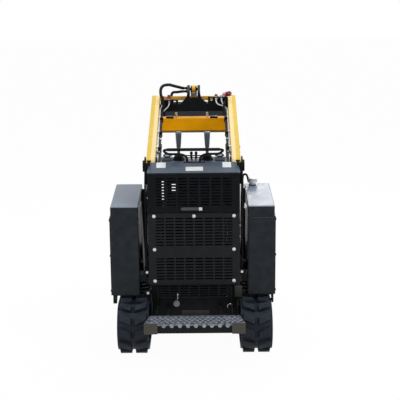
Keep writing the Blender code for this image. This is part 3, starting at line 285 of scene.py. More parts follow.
@dataclass(frozen=True)
class ArmEnamel(Coating):
    """Sprayed enamel with a pale cream painted highlight along the arms' inner halves."""

    # Cream of the painted highlight, and the distance from the middle where it gives way to yellow
    pale: str = "F0D693"
    edge: float = 0.279
    blur: float = 0.003

    def graded(self, tree: NodeTree, place: Socket, colour: Socket) -> Socket:
        """Mix the painted highlight's cream in towards the middle of the machine.

        Args:
            tree: node tree to build in.
            place: socket with the point on the machine.
            colour: socket with the coat's colour.

        Returns:
            Socket with the colour as it lies on the piece.
        """
        share = add_node(tree, "ShaderNodeMapRange", Value=from_middle(tree, place),
                         From_Min=self.edge - self.blur, From_Max=self.edge + self.blur, To_Min=1.0,
                         To_Max=0.0).outputs["Result"]
        return mixed(tree, share, colour, linear(self.pale))


@dataclass(frozen=True)
class StepSteel(Coating):
    """Scuffed tread on top, painted edges below: bare grey-brown ends, and between them a near-black recess whose
    colour is painted shade under the tread's overhang.
    """

    # Grey-brown of the bare ends, and the near-black painted shade of the recess between them
    end_colour: str = "46453F"
    recess_shade_colour: str = "0D0F10"
    end_from: float = 0.2345
    tread_from_z: float = 0.2905
    top_from: float = 0.4
    top_full: float = 0.8

    def graded(self, tree: NodeTree, place: Socket, colour: Socket) -> Socket:
        """Keep the tread's colour on its top and along its upper rim; the rest is grey-brown at the ends and
        painted shade in the recess between them.

        Args:
            tree: node tree to build in.
            place: socket with the point on the machine.
            colour: socket with the coat's colour.

        Returns:
            Socket with the colour as it lies on the piece.
        """
        ends = calculated(tree, "GREATER_THAN", from_middle(tree, place), self.end_from)
        # Painted shade in the recessed middle, grey-brown at the ends
        painted = mixed(tree, ends, linear(self.recess_shade_colour), linear(self.end_colour))
        share = add_node(tree, "ShaderNodeMapRange", Value=upward(tree), From_Min=self.top_from,
                         From_Max=self.top_full).outputs["Result"]
        height = add_node(tree, "ShaderNodeSeparateXYZ", Vector=place).outputs["Z"]
        edge = calculated(tree, "GREATER_THAN", height, self.tread_from_z)
        tread = calculated(tree, "MAXIMUM", share, calculated(tree, "SUBTRACT", edge, ends))
        return mixed(tree, tread, painted, colour)


class Finish(Enum):
    """Every surface of the machine, each named for its material and how it was made; some colours carry painted
    highlights, sheen and shade.
    """

    # Polyester powder coat on folded sheet: deep black and smooth, with a thin film of dust on level faces
    GLOSS_POWDER_COAT = Coating("Black gloss powder coat on folded sheet", "0B0E11", "0F1316", 0.24, 0.05,
                                grain_mm=2.2, relief_mm=0.02, dust=0.25, dust_and_sheen_colour="6E7989", ior=1.16)
    # The same coat on the lower panel and the grille, greyed by road film
    PANEL_POWDER_COAT = Coating("Black powder coat under road film", "1B1D1F", "202224", 0.34, 0.06,
                                grain_mm=2.2, relief_mm=0.02, ior=1.18)
    # Painted iron of the engine behind the slots, dull and almost black
    DULL_CAST_IRON = Coating("Dull black paint on cast iron", "030405", "050607", 0.80, 0.05,
                             grain_mm=1.6, relief_mm=0.05, ior=1.05)
    # The same coat on the tanks, a touch duller; the pale blue-grey film on their level tops is a painted sheen,
    # the reflection of the bright surround and lamps
    TANK_POWDER_COAT = Coating("Black powder coat on tank sheet", "171A1D", "1C1F22", 0.30, 0.05,
                               grain_mm=2.2, relief_mm=0.02, dust=3.20, dust_and_sheen_colour="808B9C", ior=1.20)
    # The same powder on structural plate, baked duller
    SATIN_POWDER_COAT = Coating("Black satin powder coat on plate", "0A0B0D", "101214", 0.42, 0.08,
                                grain_mm=1.6, relief_mm=0.03, dust=0.30, dust_and_sheen_colour="4A4C4E", ior=1.20)
    # Blue-black powder coat on the hitch plate's rolled steel
    HITCH_COAT = Coating("Blue-black powder coat on hitch plate", "0C131D", "121A25", 0.40, 0.06,
                         grain_mm=1.8, relief_mm=0.03, ior=1.15)
    # Slate powder coat of the control deck: grey-blue with a soft sheen
    SLATE_POWDER_COAT = Coating("Slate powder coat on deck sheet", "404B5A", "4B5767", 0.38, 0.06,
                                grain_mm=2.0, relief_mm=0.02, dust=0.15, dust_and_sheen_colour="6E7887", ior=1.30)
    # A lighter slate grey: on the rail at the deck's near edge a painted highlight of that rounded edge, and the
    # same grey on the levers' caps
    RUBBED_POWDER_COAT = Coating("Pale slate coat, painted edge highlight on rail", "68727F", "5A6470", 0.40, 0.06,
                                 patch_mm=30.0, grain_mm=2.0, relief_mm=0.02)
    # Two-pack enamel sprayed on the welded loader arms: lemon yellow, glossy, slightly uneven in depth, with a
    # cream painted highlight on their inner halves
    ARM_ENAMEL = ArmEnamel("Yellow sprayed enamel on welded arm", "DFBC18", "D7B00F", 0.34, 0.06,
                           grain_mm=2.5, relief_mm=0.02, ior=1.35)
    # The same enamel on the cross members, made a deeper orange yellow: painted shade of their rear faces
    CROSS_ENAMEL = Coating("Orange-yellow sprayed enamel on cross tube", "FFB40E", "F8AA0A", 0.46, 0.06,
                           grain_mm=2.5, relief_mm=0.02, ior=1.14)
    # The coat of enamel on the upper bar and on the tilt cylinder's eye
    BAR_ENAMEL = Coating("Yellow sprayed enamel on bar", "EDB424", "E5A818", 0.30, 0.05,
                         grain_mm=2.5, relief_mm=0.02)
    # Carbon-filled rubber moulded in a track press: matt blue-black with a skin of dust
    TRACK_RUBBER = Coating("Moulded track rubber", "10141B", "1A202A", 0.58, 0.10, patch_mm=35.0,
                           grain_mm=3.0, relief_mm=0.25, dust=0.30, dust_and_sheen_colour="566072", ior=1.30)
    # Zinc electroplate on steel pipe and hardware: bright grey with a soft sheen
    ZINC_PLATE = Coating("Zinc plated steel", "C6CACF", "AEB3B9", 0.30, 0.08, metallic=1.0,
                         patch_mm=20.0, grain_mm=1.0, relief_mm=0.01)
    # The same plate made near white with little mirror in it: a painted highlight, the bright glint of zinc pipe
    # and bolts against black
    BRIGHT_ZINC = Coating("Bright zinc plated pipe and bolt", "DCDFE2", "C9CCD0", 0.46, 0.06, metallic=0.35,
                          patch_mm=20.0, grain_mm=1.0, relief_mm=0.01)
    # Hard chrome ground on the cylinder rods: mirror bright
    HARD_CHROME = Coating("Ground hard chrome rod", "E2E4E6", "D6D9DC", 0.10, 0.03, metallic=1.0,
                          patch_mm=40.0, grain_mm=0.8, relief_mm=0.004)
    # Spark-textured ABS of grips and pods: slate grey, fine even grain
    SLATE_ABS = Coating("Moulded slate ABS", "2A313C", "343C48", 0.48, 0.06, grain_mm=0.9, relief_mm=0.05)
    # Nitrile rubber of boots, sleeves, bezels and clamps: black and dull
    BOOT_RUBBER = Coating("Moulded nitrile boot", "08090B", "0E0F12", 0.62, 0.06, grain_mm=1.2, relief_mm=0.05,
                          ior=1.25)
    # Wrapped cover of hydraulic hose: black, with the cloth wrap's faint weave
    HOSE_COVER = Coating("Wrapped hydraulic hose cover", "0A0B0C", "121315", 0.55, 0.06,
                         grain_mm=1.4, relief_mm=0.08, ior=1.28)
    # Low-density polyethylene dust caps: soft red, a little translucent in look
    RED_CAP = Coating("Moulded red polyethylene cap", "8E1A2C", "721424", 0.40, 0.05, grain_mm=1.5,
                      relief_mm=0.02)
    # A cap of the same kind painted pink: a painted highlight on the red plastic
    PINK_HIGHLIGHT_CAP = Coating("Red polyethylene cap, painted pink highlight", "D79AA0", "C98489", 0.48, 0.06, grain_mm=1.2,
                        relief_mm=0.03)
    # Tread plate scuffed by boots: blue-grey with dark wear, over painted edges and the painted shade of the
    # recess between its ends
    TREAD_PLATE = StepSteel("Scuffed tread plate over painted edges", "858A96", "2F333C", 0.46, 0.10,
                            patch_mm=20.0, grain_mm=1.2, relief_mm=0.06, ior=1.25)
    # Its raised dimples, rubbed to the metal
    RUBBED_TREAD = Coating("Rubbed tread dimples", "9DA2AD", "6A707B", 0.42, 0.10, patch_mm=12.0,
                           grain_mm=1.2, relief_mm=0.05)
    # Zinc die casting of the door's latch, sprayed dark grey
    LATCH_CASTING = Coating("Grey sprayed die-cast latch", "3D3E43", "333439", 0.40, 0.06, grain_mm=1.5,
                            relief_mm=0.04)
    # Black open-cell foam strip: swallows light
    FOAM = Coating("Black open-cell foam strip", "060607", "0B0B0C", 0.90, 0.05, grain_mm=2.0, relief_mm=0.30,
                   ior=1.15)
    # Red-brown primer left bare on the lip under the cross tube
    BROWN_PRIMER = Coating("Bare brown primer on lip", "8A6838", "75572E", 0.55, 0.08, grain_mm=2.0,
                           relief_mm=0.03, ior=1.28)
    # Plain white on the zinc guide posts of the cross tube: a painted reflection of the bright surround
    WHITE_NYLON = Coating("White, painted glint of zinc posts", "ECEEEF", "E2E5E7", 0.45, 0.05, grain_mm=1.5, relief_mm=0.02)
    # Dull grey-brown paint on the bent bracket beside the grille and the step's back plate
    GREY_BRACKET = Coating("Dull grey paint on bracket", "34352F", "2C2D29", 0.60, 0.06, grain_mm=1.6,
                           relief_mm=0.03, ior=1.28)
    # Grey PVC sleeve of the conduit between tank and tower
    CONDUIT = Coating("Grey PVC conduit sleeve", "6E6F71", "5A5B5D", 0.50, 0.06, grain_mm=2.0, relief_mm=0.04)
    # Gauge glass over its pale blue dial
    GAUGE_GLASS = Coating("Glazed gauge dial", "34424F", "43535F", 0.14, 0.03, grain_mm=5.0, relief_mm=0.004,
                          coat=0.6)
    # Matt white vinyl film of the blank labels
    WHITE_VINYL = Coating("White vinyl film", "DFE2E3", "D4D8DA", 0.42, 0.04, grain_mm=2.0, relief_mm=0.01)
    # Polycarbonate lamp lens over its bright bowl
    LAMP_LENS = Coating("Moulded polycarbonate lamp lens", "DDE3E8", "CBD3DA", 0.12, 0.04, grain_mm=4.0,
                        relief_mm=0.10, coat=0.5)

    def material(self) -> bpy.types.Material:
        """Return the finish's material."""
        return self.value.material()


# Node name beginnings and the finish that each group of nodes wears; the first match counts
NODE_FINISHES: tuple[tuple[str, Finish], ...] = (
    ("rear_lower_panel", Finish.PANEL_POWDER_COAT),
    ("engine_block", Finish.DULL_CAST_IRON),
    ("lower_grille", Finish.PANEL_POWDER_COAT),
    ("track_", Finish.TRACK_RUBBER),
    ("lift_rod", Finish.HARD_CHROME),
    ("tilt_rod", Finish.HARD_CHROME),
    ("lift_arm", Finish.ARM_ENAMEL),
    ("cross_tube", Finish.CROSS_ENAMEL),
    ("upper_bar", Finish.BAR_ENAMEL),
    ("oil_lines", Finish.BRIGHT_ZINC),
    ("tank_cap", Finish.BRIGHT_ZINC),
    ("drain_fitting", Finish.ZINC_PLATE),
    ("door_latch", Finish.LATCH_CASTING),
    ("tilt_hose", Finish.HOSE_COVER),
    ("drive_lever", Finish.SLATE_ABS),
    ("instrument_pod", Finish.SLATE_ABS),
    ("operator_step", Finish.TREAD_PLATE),
    ("work_lamp", Finish.LAMP_LENS),
    ("control_deck", Finish.SLATE_POWDER_COAT),
    ("hitch_plate", Finish.HITCH_COAT),
    ("side_tank", Finish.TANK_POWDER_COAT),
    ("rear_", Finish.GLOSS_POWDER_COAT),
    ("engine_hood", Finish.GLOSS_POWDER_COAT),
    ("front_cover", Finish.GLOSS_POWDER_COAT),
    ("side_cover", Finish.GLOSS_POWDER_COAT),
    ("", Finish.SATIN_POWDER_COAT),
)


def dress_nodes(nodes: dict[str, Object]) -> None:
    """Give each carried-over node its finish.

    Args:
        nodes: the frame's nodes by name.
    """
    for name, node in sorted(nodes.items()):
        finish = next(f for start, f in NODE_FINISHES if name.startswith(start))
        node.data.materials.clear()
        node.data.materials.append(finish.material())
        LOG.info("dressed %s in %s", name, finish.value.name)


# Modelling helpers

def deselect_all() -> None:
    """Leave nothing selected, in object mode."""
    if bpy.context.object and bpy.context.object.mode != "OBJECT":
        bpy.ops.object.mode_set(mode="OBJECT")
    bpy.ops.object.select_all(action="DESELECT")


def apply_place(piece: Object) -> Object:
    """Write the piece's place into its mesh.

    Args:
        piece: object to settle.

    Returns:
        The same object, now at the origin, unturned and unscaled.
    """
    deselect_all()
    piece.select_set(True)
    bpy.context.view_layer.objects.active = piece
    bpy.ops.object.transform_apply(location=True, rotation=True, scale=True)
    return piece


def edit_all(piece: Object) -> None:
    """Enter edit mode on the piece with all of it selected.

    Args:
        piece: object to edit.
    """
    deselect_all()
    piece.select_set(True)
    bpy.context.view_layer.objects.active = piece
    bpy.ops.object.mode_set(mode="EDIT")
    bpy.ops.mesh.select_all(action="SELECT")


def leave_edit() -> None:
    """Return to object mode."""
    bpy.ops.object.mode_set(mode="OBJECT")


def eased_block(low: Point, high: Point, edge: float) -> Object:
    """Block between two corners with rounded edges.

    Args:
        low: lowest corner.
        high: highest corner.
        edge: width of the rounding.

    Returns:
        The new object.
    """
    deselect_all()
    centre = [(a + b) / 2 for a, b in zip(low, high)]
    size = [b - a for a, b in zip(low, high)]
    bpy.ops.mesh.primitive_cube_add(size=1.0, location=centre, scale=size)
    block = apply_place(bpy.context.object)
    edit_all(block)
    bpy.ops.mesh.bevel(offset=edge, segments=2, affect="EDGES")
    leave_edit()
    return block


def round_bar(start: Point, end: Point, radius: float, sides: int, chamfer: float = 0.0) -> Object:
    """Round bar between two points, with chamfered rims.

    Args:
        start: centre of the first end.
        end: centre of the second end.
        radius: radius of the bar.
        sides: facets round it.
        chamfer: width of the rims' chamfer.

    Returns:
        The new object.
    """
    deselect_all()
    a, b = Vector(start), Vector(end)
    turn = (b - a).to_track_quat("Z", "Y").to_euler()
    bpy.ops.mesh.primitive_cylinder_add(vertices=sides, radius=radius, depth=(b - a).length,
                                        location=(a + b) / 2, rotation=turn)
    made = apply_place(bpy.context.object)
    if chamfer:
        edit_all(made)
        along = (b - a).normalized()
        bpy.ops.mesh.select_all(action="DESELECT")
        shape = bmesh.from_edit_mesh(made.data)
        for edge in shape.edges:
            edge.select = edge.is_manifold and any(abs(f.normal.dot(along)) > 0.98 for f in edge.link_faces)
        bmesh.update_edit_mesh(made.data)
        bpy.ops.mesh.bevel(offset=chamfer, segments=2, affect="EDGES")
        leave_edit()
    return made


def turned(profile: Profile, centre: Point = ORIGIN, axis: Vector = UP, steps: int = 24,
           ring: bool = False) -> Object:
    """Solid of revolution spun in edit mode from a profile, whose ends are closed towards the axis.

    Args:
        profile: radius and height of each point from one end of the axis to the other.
        centre: origin of the heights.
        axis: unit vector of the axis.
        steps: facets round it.
        ring: the profile is a closed loop away from the axis.

    Returns:
        The new object.
    """
    deselect_all()
    side = axis.orthogonal().normalized()
    origin = Vector(centre)
    first = [] if ring or not profile[0][0] else [(0.0, profile[0][1])]
    last = [] if ring or not profile[-1][0] else [(0.0, profile[-1][1])]
    points = [origin + side * radius + axis * height for radius, height in (*first, *profile, *last)]
    mesh = bpy.data.meshes.new("profile")
    links = [(i, i + 1) for i in range(len(points) - 1)] + ([(len(points) - 1, 0)] if ring else [])
    mesh.from_pydata([tuple(p) for p in points], links, [])
    made = bpy.data.objects.new("profile", mesh)
    bpy.context.scene.collection.objects.link(made)
    edit_all(made)
    bpy.ops.mesh.spin(steps=steps, angle=2 * pi, center=centre, axis=tuple(axis))
    bpy.ops.mesh.select_all(action="SELECT")
    bpy.ops.mesh.remove_doubles(threshold=1e-5)
    bpy.ops.mesh.normals_make_consistent(inside=False)
    leave_edit()
    return made


def swept(points: list[Point], radius: float) -> Object:
    """Round hose or wire through a row of points, with closed ends.

    Args:
        points: places that its centre passes through.
        radius: radius of the hose.

    Returns:
        The new object, as a mesh.
    """
    deselect_all()
    curve = bpy.data.curves.new("route", "CURVE")
    curve.dimensions = "3D"
    curve.bevel_depth = radius
    curve.bevel_resolution = 3
    curve.resolution_u = 5
    curve.use_fill_caps = True
    spline = curve.splines.new("BEZIER")
    spline.bezier_points.add(len(points) - 1)
    for knot, spot in zip(spline.bezier_points, points):
        knot.co = spot
        knot.handle_left_type = knot.handle_right_type = "AUTO"
    route = bpy.data.objects.new("route", curve)
    bpy.context.scene.collection.objects.link(route)
    route.select_set(True)
    bpy.context.view_layer.objects.active = route
    bpy.ops.object.convert(target="MESH")
    made = bpy.context.object
    edit_all(made)
    bpy.ops.mesh.remove_doubles(threshold=1e-6)
    bpy.ops.mesh.normals_make_consistent(inside=False)
    leave_edit()
    return made


def joined(pieces: list[Object]) -> Object:
    """Join objects into one.

    Args:
        pieces: objects to join.

    Returns:
        The joined object.
    """
    deselect_all()
    for one in pieces:
        one.select_set(True)
    bpy.context.view_layer.objects.active = pieces[0]
    if len(pieces) > 1:
        bpy.ops.object.join()
    return bpy.context.object


def copied(piece: Object, matrix: Matrix) -> Object:
    """Copy a piece with its own mesh, moved by a matrix.

    Args:
        piece: object to copy.
        matrix: transform written into the copy's mesh.

    Returns:
        The copy.
    """
    other = piece.copy()
    other.data = piece.data.copy()
    other.data.transform(matrix)
    bpy.context.scene.collection.objects.link(other)
    return other


def set_out(pattern: Object, spots: list[tuple[Point, Point]]) -> Object:
    """Copy a pattern made at the origin along +Z to each spot, and join the copies.

    Args:
        pattern: object to copy, removed afterwards.
        spots: place and outward direction of each copy.

    Returns:
        The joined copies.
    """
    copies = []
    for at, out in spots:
        turn = Vector(out).to_track_quat("Z", "Y").to_matrix().to_4x4()
        copies.append(copied(pattern, Matrix.Translation(at) @ turn))
    bpy.data.objects.remove(pattern)
    return joined(copies)


def finish_piece(parts: Object | list[Object], name: str, finish: Finish, body: Body,
                 smooth: bool = True) -> None:
    """Name, dress and ride one finished piece.

    Args:
        parts: modelled object, or the objects that are joined into it.
        name: its name.
        finish: surface it wears.
        body: body that carries it.
        smooth: shade its round faces smooth.
    """
    piece = joined(parts) if isinstance(parts, list) else parts
    piece.name = name
    piece.data.name = name
    piece.data.materials.clear()
    piece.data.materials.append(finish.material())
    if smooth:
        deselect_all()
        piece.select_set(True)
        bpy.context.view_layer.objects.active = piece
        bpy.ops.object.shade_smooth_by_angle(angle=radians(35))
    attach(piece, body.value)
    LOG.info("made %s (%d faces)", name, len(piece.data.polygons))


def span(side: int, near: float, far: float) -> Span:
    """Low and high X of a strip between two distances from the middle plane."""
    low, high = sorted((side * near, side * far))
    return low, high


@dataclass(frozen=True)
class Place:
    """Reference plane read from the frame, and the two forms most often laid out from it, in metres."""

    rear_plane: float

    @classmethod
    def read(cls) -> "Place":
        """Read the tanks' rear plane from the frame's boxes."""
        return cls(rear_plane=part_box("side_tank_left")[0].y)

    def at(self, x: float, back: float, z: float) -> Point:
        """Point at a distance ahead of the tanks' rear faces."""
        return x, self.rear_plane + back, z

    def block(self, x: Span, back: Span, z: Span, edge: float) -> Object:
        """Rounded block between the low and high value along each axis."""
        return eased_block(self.at(x[0], back[0], z[0]), self.at(x[1], back[1], z[1]), edge)

    def hose(self, route: tuple[Point, ...], radius: float) -> Object:
        """Round hose through a row of points."""
        return swept([self.at(*point) for point in route], radius)


@dataclass
class Fasteners:
    """Dome-headed bolts of the rear panels, the tank plates and the covers."""

    place: Place
    head_radius: float = 0.0085
    head_height: float = 0.0060
    rim_height: float = 0.0030
    dome_degrees: tuple[int, ...] = (25, 50, 72)
    washer_radius: float = 0.0115
    panel_bolt_x: float = 0.259
    panel_bolt_rows: tuple[float, ...] = (0.477, 0.691, 0.915)
    tank_bolt_backs: tuple[float, ...] = (0.030, 0.270, 0.510)
    tank_bolt_rows: tuple[float, ...] = (0.400, 0.640, 0.880)
    tank_foot_inset: float = 0.022
    tank_foot_spot: Span = (0.006, 0.340)
    front_cover_x: float = 0.198
    front_cover_back: float = 0.800
    front_cover_rows: tuple[float, ...] = (0.470, 0.730, 0.990)
    apron_x: tuple[float, ...] = (-0.240, 0.0, 0.240)
    apron_spot: Span = (0.930, 0.4745)
    apron_out: Point = (0, 0.203, 0.979)
    hood_x: float = 0.200
    hood_backs: tuple[float, ...] = (0.360, 0.560, 0.770)
    hood_rear: Span = (0.330, 1.1085)
    hood_fall: float = 0.170
    hood_out: Point = (0, 0.168, 0.986)
    washer_height: float = 0.0012
    head_foot: float = 0.0014

    def dome_bolt(self) -> Object:
        """Dome head with its washer, at the origin along +Z.

        Returns:
            The bolt.
        """
        radius, rim = self.head_radius, self.rim_height
        profile = [(self.washer_radius, -SINK), (self.washer_radius, self.washer_height),
                   (radius, self.head_foot), (radius, rim)]
        profile += [(radius * cos(angle), rim + (self.head_height - rim) * sin(angle))
                    for angle in map(radians, self.dome_degrees)]
        return turned(profile + [(0.0, self.head_height)], steps=16)

    def build(self) -> None:
        """Make the bolts of the panels, the tank plates and the covers."""
        at = self.place.at
        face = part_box("rear_lower_panel")[0].y
        rear = [((side * self.panel_bolt_x, face, z), REARWARD) for z in self.panel_bolt_rows for side in SIDES]
        rear.append(((0.0, face, self.panel_bolt_rows[-1]), REARWARD))
        finish_piece(set_out(self.dome_bolt(), rear), "panel_bolts", Finish.BRIGHT_ZINC, Body.CHASSIS)
        plates = []
        for side, node in zip(SIDES, ("side_tank_left", "side_tank_right")):
            low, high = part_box(node)
            outer = low.x if side < 0 else high.x
            plates += [(at(outer, back, z), (side, 0, 0))
                       for back in self.tank_bolt_backs for z in self.tank_bolt_rows]
            plates.append((at(outer - side * self.tank_foot_inset, *self.tank_foot_spot), REARWARD))
        finish_piece(set_out(self.dome_bolt(), plates), "tank_plate_bolts", Finish.SATIN_POWDER_COAT, Body.CHASSIS)
        covers = [(at(side * self.front_cover_x, self.front_cover_back, z), FORWARD)
                  for side in SIDES for z in self.front_cover_rows]
        covers += [(at(x, *self.apron_spot), self.apron_out) for x in self.apron_x]
        hood_back, hood_z = self.hood_rear
        covers += [(at(side * self.hood_x, back, hood_z - self.hood_fall * (back - hood_back)), self.hood_out)
                   for side in SIDES for back in self.hood_backs]
        finish_piece(set_out(self.dome_bolt(), covers), "cover_bolts", Finish.ZINC_PLATE, Body.CHASSIS)


@dataclass
class DeckTrim:
    """Blank film labels, a pale rail that carries the painted highlight of the deck's near edge, dark strip and
    arm rest pads of the control deck.
    """

    place: Place
    # Name, middle in X, half width, and start and end as shares of the way up the slope
    labels: tuple[tuple[str, float, float, float, float], ...] = (
        ("blank_label_left", -0.210, 0.030, 0.42, 0.98),
        ("blank_label_right", 0.215, 0.028, 0.42, 0.98),
        ("blank_label_middle", 0.005, 0.056, 0.08, 0.50),
    )
    film: float = 0.0006
    film_lift: float = 0.0004
    slope_foot_z: float = 1.205
    slope_run: float = 0.085
    slope_rise: float = 0.045
    # Pale rail along the deck's near edge: a painted highlight of the rounded edge
    rail: Box = ((-0.299, 0.299), (-0.0060, -0.0003), (1.1955, 1.2040))
    rail_edge: float = 0.0022
    strip: Box = ((-0.063, 0.076), (0.079, 0.088), (1.2495, 1.2540))
    strip_edge: float = 0.0015
    pad_x: float = 0.288
    pad_half: float = 0.014
    pad_back: Span = (0.048, 0.072)
    pad_z: Span = (1.258, 1.268)
    stem_back: float = 0.060
    stem_z: Span = (1.232, 1.262)
    stem_radius: float = 0.008

    def label(self, name: str, x: float, half: float, start: float, end: float) -> None:
        """Lay a blank label on the deck's slope.

        Args:
            name: name of the piece.
            x: middle of the label.
            half: half its width.
            start: share of the way up the slope where it starts.
            end: share where it ends.
        """
        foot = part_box("control_deck")[0].y
        slope = self.slope_rise / self.slope_run
        deselect_all()
        bpy.ops.mesh.primitive_plane_add(size=1.0)
        label = bpy.context.object
        spots = [(across, self.slope_run * share) for share in (start, end) for across in (x - half, x + half)]
        for vert, (across, run) in zip(label.data.vertices, spots):
            vert.co = (across, foot + run, self.slope_foot_z + slope * run + self.film_lift)
        edit_all(label)
        bpy.ops.mesh.extrude_region_move(TRANSFORM_OT_translate={"value": (0, 0, self.film)})
        bpy.ops.mesh.select_all(action="SELECT")
        bpy.ops.mesh.normals_make_consistent(inside=False)
        leave_edit()
        finish_piece(label, name, Finish.WHITE_VINYL, Body.CHASSIS, smooth=False)

    def build(self) -> None:
        """Make the labels, the rail, the strip and the pads."""
        place = self.place
        for row in self.labels:
            self.label(*row)
        rail = place.block(*self.rail, self.rail_edge)
        finish_piece(rail, "deck_edge_highlight_rail", Finish.RUBBED_POWDER_COAT, Body.CHASSIS)
        strip = place.block(*self.strip, self.strip_edge)
        finish_piece(strip, "deck_strip_trim", Finish.BOOT_RUBBER, Body.CHASSIS)
        pads = []
        for side in SIDES:
            x = side * self.pad_x
            low, high = (place.at(x, self.stem_back, z) for z in self.stem_z)
            pads.append(round_bar(low, high, self.stem_radius, 14, CUT_EDGE))
            pads.append(place.block((x - self.pad_half, x + self.pad_half), self.pad_back, self.pad_z,
                                    MOULDED_EDGE))
        finish_piece(pads, "arm_rest_pads", Finish.BOOT_RUBBER, Body.CHASSIS)


@dataclass
class DoorTrim:
    """Bright catch at the end of the door's latch."""

    place: Place
    length: float = 0.021
    proud: float = 0.0045
    bite: float = 0.002
    below: float = 0.0005
    above: float = 0.001

    def build(self) -> None:
        """Make the catch and ride it on the door."""
        low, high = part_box("door_latch")
        catch = eased_block((high.x - self.length, low.y - self.proud, low.z - self.below),
                            (high.x, low.y + self.bite, high.z + self.above), CUT_EDGE)
        finish_piece(catch, "latch_catch", Finish.BRIGHT_ZINC, Body.DOOR)


@dataclass
class Controls:
    """Bellows boots, lever grips, gauges, switches and small levers on the control deck."""

    place: Place
    deck_z: float = 1.2503
    lever_x: tuple[float, float] = (-0.097, 0.090)
    lever_lean: Point = (0.0, 0.0815, 0.9967)
    boot_back: float = 0.170
    boot_radius: float = 0.0405
    boot_cone: Span = (0.0372, 0.467)
    ridges: int = 4
    ridge_pitch: float = 0.0072
    # Centre of a lever's cap ahead of the tanks' rear faces and above the deck
    cap_spot: Span = (0.182, 0.1775)
    cap_profile: Profile = ((0.0208, -0.004), (0.0214, 0.0015), (0.0195, 0.0062), (0.0140, 0.0092),
                            (0.0, 0.0105))
    grip_foot: float = 0.080
    grip_back: float = 0.174
    grip_slant: float = 0.0816
    grip_radius: float = 0.0135
    grip_taper: float = 0.0714
    ribs: int = 5
    first_rib: float = 0.096
    rib_pitch: float = 0.013
    bar_x: tuple[float, ...] = (-0.172, -0.060, 0.060, 0.172)
    bar_back: float = 0.100
    bar_height: float = 0.0805
    sleeve_radius: float = 0.0103
    knob_x: tuple[float, ...] = (-0.014, 0.0165)
    knob_spot: Span = (0.172, 1.295)
    knob_profile: Profile = ((0.0, -0.012), (0.0070, -0.011), (0.0098, -0.004), (0.0098, 0.003), (0.0070, 0.009),
                             (0.0, 0.011))
    gland_x: tuple[float, ...] = (-0.026, 0.0015, 0.0290)
    gland_back: float = 0.148
    gland_profile: Profile = ((0.0105, -0.002), (0.0105, 0.010), (0.0060, 0.0150))
    pod_out: Point = (0.0, -0.211, 0.977)
    gauge_spot: Point = (0.172, 0.162, 1.2790)
    dial_profile: Profile = ((0.0215, 0.0), (0.0215, 0.0035), (0.012, 0.0050), (0.0, 0.0055))
    bezel_profile: Profile = ((0.0210, -0.002), (0.0270, -0.002), (0.0260, 0.0060), (0.0215, 0.0070))
    switch_x: tuple[float, ...] = (0.147, 0.197)
    switch_spot: Span = (0.140, 1.2735)
    switch_profile: Profile = ((0.0060, 0.0), (0.0060, 0.004), (0.0025, 0.005), (0.0020, 0.016), (0.0030, 0.019),
                               (0.0, 0.020))

    def bellows(self, x: float) -> Object:
        """Ribbed boot that narrows from the deck to the lever's stem.

        Args:
            x: place of the lever.

        Returns:
            The boot.
        """
        profile = [(self.boot_radius, 0.0005), (self.boot_radius, 0.0030)]
        foot_radius, taper = self.boot_cone
        for i in range(self.ridges):
            height = 0.0040 + self.ridge_pitch * i
            cone = foot_radius - taper * height
            profile += [(cone + 0.0005, height), (cone + 0.0038, height + 0.0030),
                        (cone - 0.0010, height + 0.0062)]
        profile += [(0.0150, 0.0345), (0.0115, 0.0400)]
        return turned(profile, self.place.at(x, self.boot_back, self.deck_z), steps=28)

    def grip_rib(self, x: float, up: float) -> Object:
        """Rounded ring round a lever's grip.

        Args:
            x: place of the lever.
            up: height of the ring above the deck.

        Returns:
            The ring.
        """
        radius = self.grip_radius + self.grip_taper * (up - self.grip_foot)
        back = self.grip_back + self.grip_slant * (up - self.grip_foot)
        profile = ((radius - 0.0010, -0.0035), (radius + 0.0012, -0.0020), (radius + 0.0012, 0.0020),
                   (radius - 0.0010, 0.0035))
        return turned(profile, self.place.at(x, back, self.deck_z + up), Vector(self.lever_lean), 20, ring=True)

    def levers(self) -> None:
        """Make the boots, caps and grip ribs of the drive levers."""
        cap_back, cap_up = self.cap_spot
        boots = [self.bellows(x) for x in self.lever_x]
        caps = [turned(self.cap_profile, self.place.at(x, cap_back, self.deck_z + cap_up), Vector(self.lever_lean))
                for x in self.lever_x]
        ribs = [self.grip_rib(x, self.first_rib + self.rib_pitch * i)
                for x in self.lever_x for i in range(self.ribs)]
        finish_piece(boots, "lever_boots", Finish.BOOT_RUBBER, Body.CHASSIS)
        finish_piece(caps, "lever_caps", Finish.RUBBED_POWDER_COAT, Body.CHASSIS)
        finish_piece(ribs, "grip_ribs", Finish.SLATE_ABS, Body.CHASSIS)

    def middle(self) -> None:
        """Make the grab bar's sleeve, the small levers' knobs and the glands before them."""
        place = self.place
        sleeve = place.hose(tuple((x, self.bar_back, self.deck_z + self.bar_height) for x in self.bar_x),
                            self.sleeve_radius)
        knobs = [turned(self.knob_profile, place.at(x, *self.knob_spot), steps=16) for x in self.knob_x]
        glands = [turned(self.gland_profile, place.at(x, self.gland_back, self.deck_z), steps=6)
                  for x in self.gland_x]
        finish_piece(sleeve, "grab_bar_sleeve", Finish.BOOT_RUBBER, Body.CHASSIS)
        finish_piece(knobs, "small_lever_knobs", Finish.BOOT_RUBBER, Body.CHASSIS)
        finish_piece(glands, "valve_glands", Finish.BRIGHT_ZINC, Body.CHASSIS)

